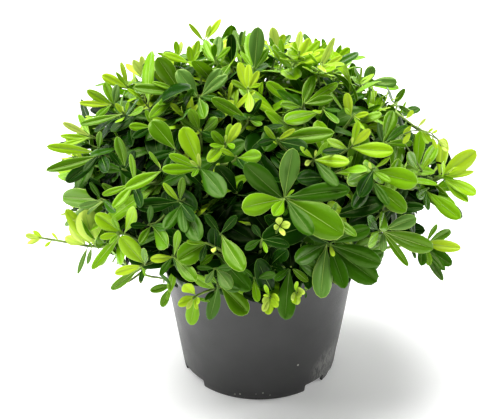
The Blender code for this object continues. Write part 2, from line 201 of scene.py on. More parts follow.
def finish_material(name, colour, roughness):
    """A plain Principled material, with its node tree, its shader and its Object coordinates."""
    made = bpy.data.materials.new(name)
    made.use_nodes = True
    tree = made.node_tree
    shader = tree.nodes["Principled BSDF"]
    shader.inputs["Base Color"].default_value = colour
    shader.inputs["Roughness"].default_value = roughness
    place = tree.nodes.new("ShaderNodeTexCoord").outputs["Object"]
    return made, tree, shader, place


def node_on(tree, kind, inputs=(), **settings):
    """A new node with its settings, each of its inputs set to a value or linked to a socket."""
    node = tree.nodes.new(kind)
    for name, value in settings.items():
        setattr(node, name, value)
    for key, term in dict(inputs).items():
        if isinstance(term, bpy.types.NodeSocket):
            tree.links.new(term, node.inputs[key])
        else:
            node.inputs[key].default_value = term
    return node


def noise_on(tree, place, scale, detail=3.0, roughness=0.55):
    """Noise of a scale, a detail and a roughness, which each finish keeps in that order."""
    inputs = {"Vector": place, "Scale": scale, "Detail": detail, "Roughness": roughness}
    return node_on(tree, "ShaderNodeTexNoise", inputs).outputs["Fac"]


def ramp_on(tree, source, stops):
    """A colour ramp between two (position, colour) stops. A plain number is a grey."""
    node = node_on(tree, "ShaderNodeValToRGB", {"Fac": source})
    for element, (position, colour) in zip(node.color_ramp.elements, stops):
        element.position = position
        element.color = colour if isinstance(colour, tuple) else (colour, colour, colour, 1.0)
    return node.outputs["Color"]


def mixed_colours(tree, share, first, second):
    return node_on(tree, "ShaderNodeMix", {0: share, 6: first, 7: second}, data_type="RGBA").outputs[2]


def calculate(tree, operation, *terms):
    return node_on(tree, "ShaderNodeMath", enumerate(terms), operation=operation).outputs[0]


def calculate_vector(tree, operation, *terms):
    return node_on(tree, "ShaderNodeVectorMath", enumerate(terms), operation=operation).outputs[0]


def bump_on(tree, shader, height, distance, strength=1.0):
    inputs = {"Height": height, "Distance": distance, "Strength": strength}
    tree.links.new(node_on(tree, "ShaderNodeBump", inputs).outputs["Normal"], shader.inputs["Normal"])


def coloured_by(tree, shader, place, speckle, stops):
    """Colours a finish with a ramp over its speckle of noise, and returns the noise."""
    noise = noise_on(tree, place, *speckle)
    tree.links.new(ramp_on(tree, noise, stops), shader.inputs["Base Color"])
    return noise


def pot_profile():
    """Radius and height from the middle of the floor, over the lip and down the outside, to the pad."""
    floor_top = FLOOR_LIFT + FLOOR_THICKNESS
    mouth = outer_radius(POT_HEIGHT) - WALL
    rim_foot = POT_HEIGHT - RIM_DEPTH
    inside = [(mouth, POT_HEIGHT - LIP_ROUND), (mouth + LIP_ROUND, POT_HEIGHT)]
    rim = [
        (RIM_RADIUS - LIP_ROUND, POT_HEIGHT),
        (RIM_RADIUS - LIP_CORNER * LIP_ROUND, POT_HEIGHT - LIP_CORNER * LIP_ROUND),
        (RIM_RADIUS, POT_HEIGHT - LIP_ROUND),
        (RIM_RADIUS - RIM_TAPER, rim_foot + LIP_ROUND),
        (RIM_RADIUS - RIM_UNDERCUT, rim_foot),
        (outer_radius(rim_foot) + RIM_FILLET[0], rim_foot - RIM_FILLET[1]),
    ]
    wall = []
    for ring in range(WALL_RINGS):
        height = rim_foot - WALL_START + (FOOT_ROUND - rim_foot + WALL_START) * ring / (WALL_RINGS - 1)
        wall.append((outer_radius(height), height))
    foot = [
        (FOOT_RADIUS - FOOT_CORNER[0] * FOOT_ROUND, FOOT_CORNER[1] * FOOT_ROUND),
        (FOOT_RADIUS - FOOT_ROUND, 0.0),
        (FOOT_RADIUS - SKIRT_WALL, 0.0),
        (FOOT_RADIUS - SKIRT_WALL, FLOOR_LIFT),
        (PAD_RADIUS + PAD_FLARE, FLOOR_LIFT),
        (PAD_RADIUS, 0.0),
        (0.0, 0.0),
    ]
    start = [(0.0, floor_top), (outer_radius(floor_top) - WALL, floor_top)]
    return start + inside + rim + wall + foot


def notch_cutter(azimuth, arc):
    bm = bmesh.new()
    bmesh.ops.create_cube(bm, size=1.0)
    width = 2 * FOOT_RADIUS * math.sin(math.radians(arc / 2))
    bmesh.ops.scale(bm, vec=(NOTCH_DEPTH, width, 2 * NOTCH_HEIGHT), verts=bm.verts)
    uprights = [e for e in bm.edges if abs(e.verts[0].co.x - e.verts[1].co.x) > NOTCH_DEPTH / 2]
    bmesh.ops.bevel(
        bm, geom=uprights, offset=NOTCH_ROUND, segments=NOTCH_ROUND_STEPS, affect="EDGES", profile=0.5,
    )
    bmesh.ops.translate(bm, vec=(FOOT_RADIUS, 0.0, 0.0), verts=bm.verts)
    turn = Matrix.Rotation(math.radians(azimuth), 4, "Z")
    bmesh.ops.transform(bm, matrix=turn, verts=bm.verts)
    return object_from(bm, "notch")


def drain_cutter(angle):
    place = Vector((math.cos(angle), math.sin(angle), 0.0)) * DRAIN_CIRCLE
    place.z = FLOOR_LIFT
    bm = bmesh.new()
    bmesh.ops.create_cone(
        bm, cap_ends=True, segments=DRAIN_SIDES, radius1=DRAIN_RADIUS, radius2=DRAIN_RADIUS,
        depth=4 * FLOOR_THICKNESS, matrix=Matrix.Translation(place),
    )
    return object_from(bm, "drain")


pot = lathed(pot_profile(), POT_STEPS, "nursery_pot")
cutters = [notch_cutter(*notch) for notch in NOTCHES]
cutters += [drain_cutter(math.tau * (n + 0.5) / DRAIN_HOLES) for n in range(DRAIN_HOLES)]
for cutter in cutters:
    cut = pot.modifiers.new("Cut", "BOOLEAN")
    cut.operation = "DIFFERENCE"
    cut.object = cutter
pot = used_up(pot)
for cutter in cutters:
    bpy.data.objects.remove(cutter, do_unlink=True)


def wall_spot(azimuth, height):
    """A point of the wall's outside, from its azimuth in degrees and its height."""
    turn = math.radians(azimuth)
    radius = outer_radius(height)
    return Vector((radius * math.cos(turn), radius * math.sin(turn), height))


def creased(obj):
    """Pushes in what lies where the pot was knocked."""
    middle = wall_spot(CREASE_AZIMUTH, CREASE_HEIGHT)
    inwards = Vector((-middle.x, -middle.y, 0.0)).normalized()
    for vert in obj.data.vertices:
        away = (vert.co - middle).length / CREASE_REACH
        if away < 1.0:
            wave = math.sin(RIPPLES_UP * vert.co.z + RIPPLES_ROUND * vert.co.y)
            fold = 1 - CREASE_RIPPLE + CREASE_RIPPLE * wave
            vert.co += inwards * CREASE_DEPTH * (1 - away * away) ** 2 * fold


creased(pot)
soft_shaded(pot, POT_SHARP)


def faded(tree, source, low, high):
    """1 where the source is at low and under, down to 0 where it is at high and over."""
    inputs = {"Value": source, "From Min": high, "From Max": low}
    return node_on(tree, "ShaderNodeMapRange", inputs).outputs[0]


def away_from(tree, place, middle):
    inputs = {0: place, 1: middle}
    return node_on(tree, "ShaderNodeVectorMath", inputs, operation="DISTANCE").outputs["Value"]


def spots_on(tree, place, spots):
    """1 on each spot, given by its azimuth, its height and its size."""
    total = 0.0
    for azimuth, height, size in spots:
        away = away_from(tree, place, wall_spot(azimuth, height))
        spot = faded(tree, away, size * SPOT_CORE, size)
        total = calculate(tree, "MAXIMUM", spot, total)
    return total


pot_plastic, tree, shader, place = finish_material("pot_plastic", POT_GREY, POT_ROUGHNESS)
cloudy = ramp_on(tree, noise_on(tree, place, *POT_CLOUDS), CLOUD_TONES)
scuff_spot = wall_spot(CREASE_AZIMUTH + SCUFF_TURN, CREASE_HEIGHT + SCUFF_RISE)
scuff_reach = CREASE_REACH * SCUFF_REACH
near_crease = faded(tree, away_from(tree, place, scuff_spot), SCUFF_CORE, scuff_reach)
slant = {"Vector": place, "Rotation": (0.0, math.radians(SCUFF_SLANT), 0.0), "Scale": SCRATCH_STRETCH}
slanted = node_on(tree, "ShaderNodeMapping", slant).outputs["Vector"]
scratches = ramp_on(tree, noise_on(tree, slanted, *SCRATCHES), SCRATCH_TONES)
scuff = calculate(tree, "MULTIPLY", scratches, near_crease)
height = node_on(tree, "ShaderNodeSeparateXYZ", {"Vector": place}).outputs["Z"]
coloured = mixed_colours(tree, calculate(tree, "MULTIPLY", scuff, SCUFF_COVER), cloudy, SCUFF_GREY)
coloured = mixed_colours(tree, spots_on(tree, place, DUST_SPOTS), coloured, DUST_WHITE)
coloured = mixed_colours(tree, spots_on(tree, place, DARK_SPECKS), coloured, SPECK_AND_FOOT_SHADE_DARK)
# Painted shade at the foot's lowest edge.
coloured = mixed_colours(tree, faded(tree, height, *FOOT_PAINTED_SHADE), coloured, SPECK_AND_FOOT_SHADE_DARK)
tree.links.new(coloured, shader.inputs["Base Color"])
sheen = ramp_on(tree, noise_on(tree, place, *POT_SHEEN), SHEEN_TONES)
tree.links.new(calculate(tree, "MAXIMUM", sheen, scuff), shader.inputs["Roughness"])
grain = calculate(tree, "MULTIPLY_ADD", scuff, SCUFF_ROUGH, noise_on(tree, place, *POT_GRAIN))
bump_on(tree, shader, grain, POT_GRAIN_DEPTH)
pot.data.materials.clear()
pot.data.materials.append(pot_plastic)
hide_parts("pot")
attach(pot, "root")


# Potting mix
# Composted bark and peat, filled to a thumb's width below the rim and settled round the stem. Coarse
# crumbs of bark lie loose on top.

MIX_BELOW_RIM = 0.014
MIX_MOUND = 0.003
MIX_GAP = 0.0006
MIX_RINGS = 26
MIX_STEPS = 96
STEM_CLEARING = 0.014
LUMP_HEIGHT = 0.0012
LUMPS_ABOVE = 0.01
LUMPS_INSIDE = 0.001
MIX_SEED = 7
MIX_SHARP = 60
MIX_ROUGHNESS = 0.95
MIX_SPECKLE = (420, 6, 0.7)
MIX_GRIT = (700, 6, 0.7)
MIX_GRIT_DEPTH = 0.0008
CRUMB_SEEDS = (1, 2, 3)
CRUMBS_OF_A_SHAPE = 300
CRUMB_SIZE = 0.0021
CRUMB_SPREAD = (0.45, 1.5)
CRUMB_CLEARING = 0.012
CRUMB_RISE = 0.0008
CRUMB_BREAKS = (0.7, 1.2)
CRUMB_SHAPE = (1.5, 0.9, 0.6)
CRUMB_ROUGHNESS = 0.9
CRUMB_SPECKLE = (260, 3, 0.55)
CRUMB_GRAIN = (1500, 4)
CRUMB_GRAIN_DEPTH = 0.0003
MIX_DARK = (0.012, 0.008, 0.005, 1.0)
MIX_BROWN = (0.055, 0.033, 0.019, 1.0)
CRUMB_RED = (0.10, 0.055, 0.030, 1.0)
MIX_TONES = ((0.38, MIX_DARK), (0.66, MIX_BROWN))
CRUMB_TONES = ((0.38, MIX_DARK), (0.62, CRUMB_RED))


def mix_top(radius):
    """Height of the mix at a distance from the pot's middle."""
    edge = outer_radius(POT_HEIGHT - MIX_BELOW_RIM) - WALL
    return POT_HEIGHT - MIX_BELOW_RIM + MIX_MOUND * (1 - (radius / edge) ** 2)


mix_edge = outer_radius(POT_HEIGHT - MIX_BELOW_RIM) - WALL - MIX_GAP
mix_floor = FLOOR_LIFT + FLOOR_THICKNESS + MIX_GAP
profile = [(0.0, mix_floor), (outer_radius(mix_floor) - WALL - MIX_GAP, mix_floor)]
for ring in range(MIX_RINGS, -1, -1):
    radius = mix_edge * ring / MIX_RINGS
    profile.append((radius, mix_top(radius)))
mix = lathed(profile, MIX_STEPS, "potting_mix_body")
dice = random.Random(MIX_SEED)
for vert in mix.data.vertices:
    radius = math.hypot(vert.co.x, vert.co.y)
    if vert.co.z > mix_floor + LUMPS_ABOVE and STEM_CLEARING < radius < mix_edge - LUMPS_INSIDE:
        vert.co.z += dice.uniform(-LUMP_HEIGHT, LUMP_HEIGHT)
creased(mix)
soft_shaded(mix, MIX_SHARP)
peat, tree, shader, place = finish_material("composted_bark", MIX_BROWN, MIX_ROUGHNESS)
coloured_by(tree, shader, place, MIX_SPECKLE, MIX_TONES)
bump_on(tree, shader, noise_on(tree, place, *MIX_GRIT), MIX_GRIT_DEPTH)
mix.data.materials.append(peat)
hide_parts("potting_mix")
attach(mix, "root")


def crumb_shape(seed):
    """One broken crumb of bark, a unit across."""
    bm = bmesh.new()
    bmesh.ops.create_icosphere(bm, subdivisions=1, radius=0.5)
    chips = random.Random(seed)
    for vert in bm.verts:
        vert.co *= chips.uniform(*CRUMB_BREAKS)
    bmesh.ops.scale(bm, vec=CRUMB_SHAPE, verts=bm.verts)
    return object_from(bm, f"crumb_{seed}")


def geometry_tree(name, *sizes):
    """A Geometry Nodes tree with geometry in and out, named inputs for its sizes, and a finish."""
    tree = bpy.data.node_groups.new(name, "GeometryNodeTree")
    tree.interface.new_socket("Geometry", in_out="OUTPUT", socket_type="NodeSocketGeometry")
    for label, kind, *usual in (("Geometry", "Geometry"), *sizes, ("Finish", "Material")):
        socket = tree.interface.new_socket(label, in_out="INPUT", socket_type=f"NodeSocket{kind}")
        for value in usual:
            socket.default_value = value
    return tree, tree.nodes.new("NodeGroupInput").outputs


def made_real(tree, shape):
    return node_on(tree, "GeometryNodeRealizeInstances", {"Geometry": shape}).outputs["Geometry"]


def tree_end(tree, shape, finish):
    """The end of a tree: nothing stays an instance, and everything gets the finish."""
    inputs = {"Geometry": made_real(tree, shape), "Material": finish}
    painted = node_on(tree, "GeometryNodeSetMaterial", inputs).outputs["Geometry"]
    node_on(tree, "NodeGroupOutput", {"Geometry": painted})
    return tree


def grown_on(obj, tree, values):
    """The object's plain mesh, grown by a tree whose inputs are set by their sockets' identifiers."""
    grow = obj.modifiers.new("Grow", "NODES")
    grow.node_group = tree
    for item in tree.interface.items_tree:
        if item.in_out == "INPUT" and item.name in values:
            grow[item.identifier] = values[item.name]
    return used_up(obj)


def scatter_tree():
    """Crumbs stood on the points, each turned and sized at random."""
    tree, given = geometry_tree(
        "crumb_scatter", ("Crumb", "Object"), ("Crumb Size", "Float", CRUMB_SIZE),
        ("Seed", "Int", CRUMB_SEEDS[0]),
    )
    shape = node_on(tree, "GeometryNodeObjectInfo", {"Object": given["Crumb"]})
    turns = {1: (math.tau, math.tau, math.tau), "Seed": given["Seed"]}
    turned = node_on(tree, "FunctionNodeRandomValue", turns, data_type="FLOAT_VECTOR")
    sizes = {2: CRUMB_SPREAD[0], 3: CRUMB_SPREAD[1], "Seed": given["Seed"]}
    sized = node_on(tree, "FunctionNodeRandomValue", sizes, data_type="FLOAT")
    stand = node_on(tree, "GeometryNodeInstanceOnPoints", {
        "Points": given["Geometry"],
        "Instance": shape.outputs["Geometry"],
        "Rotation": turned.outputs["Value"],
        "Scale": calculate(tree, "MULTIPLY", sized.outputs[1], given["Crumb Size"]),
    })
    return tree_end(tree, stand.outputs["Instances"], given["Finish"])


bark_chip, tree, shader, place = finish_material("bark_chip", CRUMB_RED, CRUMB_ROUGHNESS)
coloured_by(tree, shader, place, CRUMB_SPECKLE, CRUMB_TONES)
bump_on(tree, shader, noise_on(tree, place, *CRUMB_GRAIN), CRUMB_GRAIN_DEPTH)
crumb_tree = scatter_tree()
crumbs = []
for seed in CRUMB_SEEDS:
    shape = crumb_shape(seed)
    bm = bmesh.new()
    for _ in range(CRUMBS_OF_A_SHAPE):
        radius = CRUMB_CLEARING + (mix_edge - STEM_CLEARING) * math.sqrt(dice.random())
        turn = dice.uniform(0.0, math.tau)
        bm.verts.new((radius * math.cos(turn), radius * math.sin(turn), mix_top(radius) + CRUMB_RISE))
    values = {"Crumb": shape, "Crumb Size": CRUMB_SIZE, "Seed": seed, "Finish": bark_chip}
    crumbs.append(grown_on(object_from(bm, f"crumbs_{seed}"), crumb_tree, values))
    bpy.data.objects.remove(shape, do_unlink=True)


def joined(parts, name):
    """One object from several, with their places kept."""
    bm = bmesh.new()
    for part in parts:
        bm.from_mesh(part.data)
    skins = list(parts[0].data.materials)
    made = object_from(bm, name)
    for skin in skins:
        made.data.materials.append(skin)
    for part in parts:
        bpy.data.objects.remove(part, do_unlink=True)
    return made


loose_crumbs = joined(crumbs, "bark_crumbs")
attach(loose_crumbs, "root")


# Trunk and boughs
# One short woody stem with a root flare, and a bough to each mass of foliage but the top one, which
# the stem carries itself. The bark is grey-brown, thin and lightly fissured.

HEART = Vector((-0.002, 0.0, 0.165))
FLARE_RADIUS = 0.0125
TRUNK_RADIUS = 0.0072
TRUNK_TIP_RADIUS = 0.0040
TRUNK_SWAY = 0.0015
FLARE_HEIGHT = 0.012
TRUNK_STATIONS = 26
BOUGH_RADIUS = 0.0034
BOUGH_TIP_RADIUS = 0.0023
BOUGH_STATIONS = 14
BOUGH_GAP = 0.0005
LOWER_BOUGHS = (0.017, 0.026)
UPPER_BOUGHS = (0.046, 0.053)
CORE_INNER = 0.078
ROOT_SHARE = 0.95
CLEARANCE = 0.0003
# Each ring's count of masses, their polar angle and the azimuth of the first, in degrees.
MASS_RINGS = (("top", 1, 0.0, 0.0), ("upper", 5, 50.0, 18.0), ("lower", 8, 93.0, 0.0))
BARK_RELIEF = 0.0007
BOUGH_RELIEF = 0.00042
RELIEF_SCALE = 260.0
RELIEF_STRETCH = (1.0, 1.0, 0.35)
RELIEF_NOISE = (3.0, 0.5)
TRUNK_SIDES = 20
BOUGH_SIDES = 12
BARK_ROUGHNESS = 0.85
BARK_STRETCH = (1.0, 1.0, 0.3)
FISSURES = (520, 6, 0.65)
FISSURE_DEPTH = 0.0006
BARK_DARK = (0.030, 0.022, 0.014, 1.0)
BARK_GREY = (0.13, 0.10, 0.065, 1.0)
BARK_TONES = ((0.36, BARK_DARK), (0.60, BARK_GREY))


def direction(polar, azimuth):
    level = math.sin(polar)
    return Vector((level * math.cos(azimuth), level * math.sin(azimuth), math.cos(polar)))


class Mass:
    """One mass of foliage: the cone of space round its aim, seen from the crown's heart."""

    def __init__(self, name, aim):
        self.name = name
        self.aim = aim
        self.root = HEART + aim * CORE_INNER * ROOT_SHARE


masses = []
for ring, count, polar, first in MASS_RINGS:
    for number in range(count):
        azimuth = math.radians(first + 360.0 * number / count)
        name = ring if count == 1 else f"{ring}_{number + 1}"
        masses.append(Mass(name, direction(math.radians(polar), azimuth)))

trunk_foot = mix_top(0.0) + CLEARANCE
trunk_tip = HEART.z + CORE_INNER * ROOT_SHARE - CLEARANCE


def trunk_line(height):
    """Middle of the trunk at a height: upright at its foot, it leans and sways a little further up."""
    share = (height - trunk_foot) / (trunk_tip - trunk_foot)
    return Vector((HEART.x * share**2, TRUNK_SWAY * math.sin(math.pi * share) ** 2, height))


def trunk_radius(height):
    taper = (height - trunk_foot) / (trunk_tip - trunk_foot)
    flare = max(0.0, 1 - (height - trunk_foot) / FLARE_HEIGHT)
    straight = TRUNK_RADIUS + (TRUNK_TIP_RADIUS - TRUNK_RADIUS) * taper
    return straight + (FLARE_RADIUS - TRUNK_RADIUS) * flare**2


def smooth_line(start, leave, end, arrive, count):
    """Points of a limb that leaves its parent one way and arrives at its end another."""
    span = (end - start).length / 3
    controls = (start, start + leave * span, end - arrive * span, end)
    points = []
    for step in range(count):
        share = step / (count - 1)
        rest = 1 - share
        weights = (rest**3, 3 * share * rest**2, 3 * share**2 * rest, share**3)
        points.append(sum((c * w for c, w in zip(controls, weights)), Vector()))
    return points


def tapered(start_radius, end_radius, count):
    return [start_radius + (end_radius - start_radius) * step / (count - 1) for step in range(count)]


def limbs_curve(name, limbs):
    """One curve object with a poly spline for each (points, radii) limb."""
    curve = bpy.data.curves.new(name, "CURVE")
    curve.dimensions = "3D"
    for points, radii in limbs:
        spline = curve.splines.new("POLY")
        spline.points.add(len(points) - 1)
        for station, place, radius in zip(spline.points, points, radii):
            station.co = (*place, 1.0)
            station.radius = radius
    return set_up(name, curve)


def limb_tree():
    """A round skin on each limb, its relief pushed out and in along the skin's own normals."""
    tree, given = geometry_tree(
        "limb_skin", ("Sides", "Int", BOUGH_SIDES), ("Relief", "Float", 0.0),
        ("Relief Scale", "Float", RELIEF_SCALE),
    )
    ring = node_on(tree, "GeometryNodeCurvePrimitiveCircle", {"Resolution": given["Sides"], "Radius": 1.0})
    skin = node_on(tree, "GeometryNodeCurveToMesh", {
        "Curve": given["Geometry"],
        "Profile Curve": ring.outputs["Curve"],
        "Scale": node_on(tree, "GeometryNodeInputRadius").outputs["Radius"],
        "Fill Caps": True,
    })
    where = node_on(tree, "GeometryNodeInputPosition").outputs["Position"]
    grain = calculate_vector(tree, "MULTIPLY", where, RELIEF_STRETCH)
    swing = calculate(tree, "SUBTRACT", noise_on(tree, grain, given["Relief Scale"], *RELIEF_NOISE), 0.5)
    normal = node_on(tree, "GeometryNodeInputNormal").outputs["Normal"]
    push = calculate_vector(tree, "MULTIPLY", normal, calculate(tree, "MULTIPLY", swing, given["Relief"]))
    move = node_on(tree, "GeometryNodeSetPosition", {"Geometry": skin.outputs["Mesh"], "Offset": push})
    smooth = node_on(tree, "GeometryNodeSetShadeSmooth", {"Geometry": move.outputs["Geometry"]})
    return tree_end(tree, smooth.outputs["Geometry"], given["Finish"])


limb_skin = limb_tree()


def skinned(name, limbs, sides, relief, finish):
    values = {"Sides": sides, "Relief": relief, "Relief Scale": RELIEF_SCALE, "Finish": finish}
    return grown_on(limbs_curve(name, limbs), limb_skin, values)


bark, tree, shader, place = finish_material("bark", BARK_GREY, BARK_ROUGHNESS)
along_grain = node_on(tree, "ShaderNodeMapping", {"Vector": place, "Scale": BARK_STRETCH}).outputs[0]
fissure = coloured_by(tree, shader, along_grain, FISSURES, BARK_TONES)
bump_on(tree, shader, fissure, FISSURE_DEPTH)

heights = [trunk_foot + (trunk_tip - trunk_foot) * n / (TRUNK_STATIONS - 1) for n in range(TRUNK_STATIONS)]
trunk_limb = ([trunk_line(height) for height in heights], [trunk_radius(height) for height in heights])
trunk = skinned("trunk_bark", [trunk_limb], TRUNK_SIDES, BARK_RELIEF, bark)
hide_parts("trunk")
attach(trunk, "root")

bough_limbs = []
for number, mass in enumerate(masses):
    if mass.name == "top":
        continue
    rises = LOWER_BOUGHS if mass.name.startswith("lower") else UPPER_BOUGHS
    height = mix_top(0.0) + rises[number % 2]
    level = Vector((mass.aim.x, mass.aim.y, 0.0)).normalized()
    start = trunk_line(height) + level * (trunk_radius(height) - BOUGH_GAP)
    points = smooth_line(start, level, mass.root, mass.aim, BOUGH_STATIONS)
    bough_limbs.append((points, tapered(BOUGH_RADIUS, BOUGH_TIP_RADIUS, BOUGH_STATIONS)))
boughs = skinned("boughs_bark", bough_limbs, BOUGH_SIDES, BOUGH_RELIEF, bark)
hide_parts(*[f"bough_{mass.name}" for mass in masses if mass.name != "top"])
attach(boughs, "root")


# Twigs
# Each mass starts as one stem that forks into shoots all over its part of the dome, and each of those
# forks again close to the light. The wood is grey-brown inside, and the year's growth is still green.

TOP_REACH = 0.152
SIDE_REACH = 0.184
HEM_REACH = 0.100
SWELL_SHARE = 0.025
FULLER_POLAR = 55.0
FULLER_AZIMUTH = 180.0
FULLER_SHARE = 0.075
FULLER_POWER = 4
SWELLS_ROUND = (3, 0.6)
SWELLS_UP = (5, 1.0)
CORE_DEPTH = 0.046
HUB_SHARE = 0.45
SHOOT_COUNT = 130
LOWEST_SHOOT = 105.0
SHOOT_STATIONS = 9
SHOOT_DEPTH = 0.022
SHOOT_DEPTH_SPREAD = (-0.004, 0.006)
SHOOT_RISE = 0.25
HEM_SHOOT_RISE = -0.05
HEM_AIM = -0.1
GOLDEN_ANGLE = math.radians(137.508)
AZIMUTH_SPREAD = 0.09
SEED = 101
SEEN_SEED = 303
INNER_SEED = 707
SEED_RANGE = 10**6
STEM_RADIUS = 0.00272
STEM_TUCK = 0.001
HUB_RADIUS = 0.0024
TWIG_TIP_RADIUS = 0.0013
FORKS = (1, 2)
FORK_REACH = (0.018, 0.030)
FORK_DEPTH = (-0.004, 0.022)
FORK_START = (0.35, 0.72)
FORK_STATIONS = 6
FORK_SWAY = 0.35
FORK_LEAN = 0.35
FORK_DROP = (0.012, 0.04)
UNDER_SPRAYS = 0.020
UNDER_FORKS = 1.3
UNDER_LEAST = 0.35
INNER_COUNT = 110
INNER_DEPTH = (0.062, 0.090)
GREEN_RADIUS = 0.0012
GREEN_TIP_RADIUS = 0.0008
ARCH_TAPER = 0.6
TWIG_RELIEF = 0.0003
TWIG_SIDES = 8
GREEN_SIDES = 6
GREEN_ROUGHNESS = 0.55
GREEN_GLOSS = 0.2
GREEN_SPECKLE = (90, 3, 0.55)
GREEN_GRAIN = (900, 3)
GREEN_GRAIN_DEPTH = 0.0002
STEM_GREEN = (0.27, 0.42, 0.070, 1.0)
STEM_BROWN = (0.11, 0.17, 0.030, 1.0)
GREEN_TONES = ((0.40, STEM_BROWN), (0.62, STEM_GREEN))
LONG_SHOOTS = (
    Vector((-0.040, 0.020, 0.303)),
    Vector((0.172, 0.000, 0.196)),
    Vector((-0.170, -0.016, 0.200)),
    Vector((-0.112, -0.096, 0.140)),
)


def reach(aim):
    """How far the crown's outline lies from its heart that way."""
    rise = TOP_REACH if aim.z > 0 else HEM_REACH
    smooth = 1 / math.hypot(math.hypot(aim.x, aim.y) / SIDE_REACH, aim.z / rise)
    round_about = math.sin(SWELLS_ROUND[0] * math.atan2(aim.y, aim.x) + SWELLS_ROUND[1])
    swell = SWELL_SHARE * round_about * math.sin(SWELLS_UP[0] * aim.z + SWELLS_UP[1])
    fuller = direction(math.radians(FULLER_POLAR), math.radians(FULLER_AZIMUTH))
    shoulder = FULLER_SHARE * max(0.0, aim.dot(fuller)) ** FULLER_POWER
    return smooth * (1 + swell + shoulder)


class Shoot:
    """A leafy shoot: its tip, the way it points, how far below the outline it ends, and its own dice."""

    def __init__(self, tip, axis, depth, kind, seed, spray=None):
        self.tip = tip
        self.axis = axis
        self.depth = depth
        self.kind = kind
        self.dice = random.Random(seed)
        self.spray = spray


def shoot_axis(aim):
    rise = SHOOT_RISE if aim.z > HEM_AIM else HEM_SHOOT_RISE
    return (aim + Vector((0.0, 0.0, rise))).normalized()


# The camera, as the two ellipses of the pot in the photograph give it. Lengths in pixels are those of
# the photograph: the focal length, the picture's size, its middle's shift and the room round a spray.
CAMERA_PLACE = Vector((0.0, -1.09, 0.734))
CAMERA_DIP = 27.8
FOCAL_PIXELS = 1360.0
PICTURE_WIDTH = 500.0
PICTURE_HEIGHT = 419.0
MIDDLE_SHIFT = -9.2
SIGHT_NEAR = 0.80
SIGHT_STEP = 0.002
SIGHT_STEPS = 320
SPRAY_ROOM = 21.0
SKYLINE = 0.32
SKYLINE_AIM = 0.5
RIM_GAP = 0.0012
RIM_TESTS = 4
LED_CLEAR = 3
SPRAY_SINK = 0.013
SPRAY_TIP_SINK = 0.004
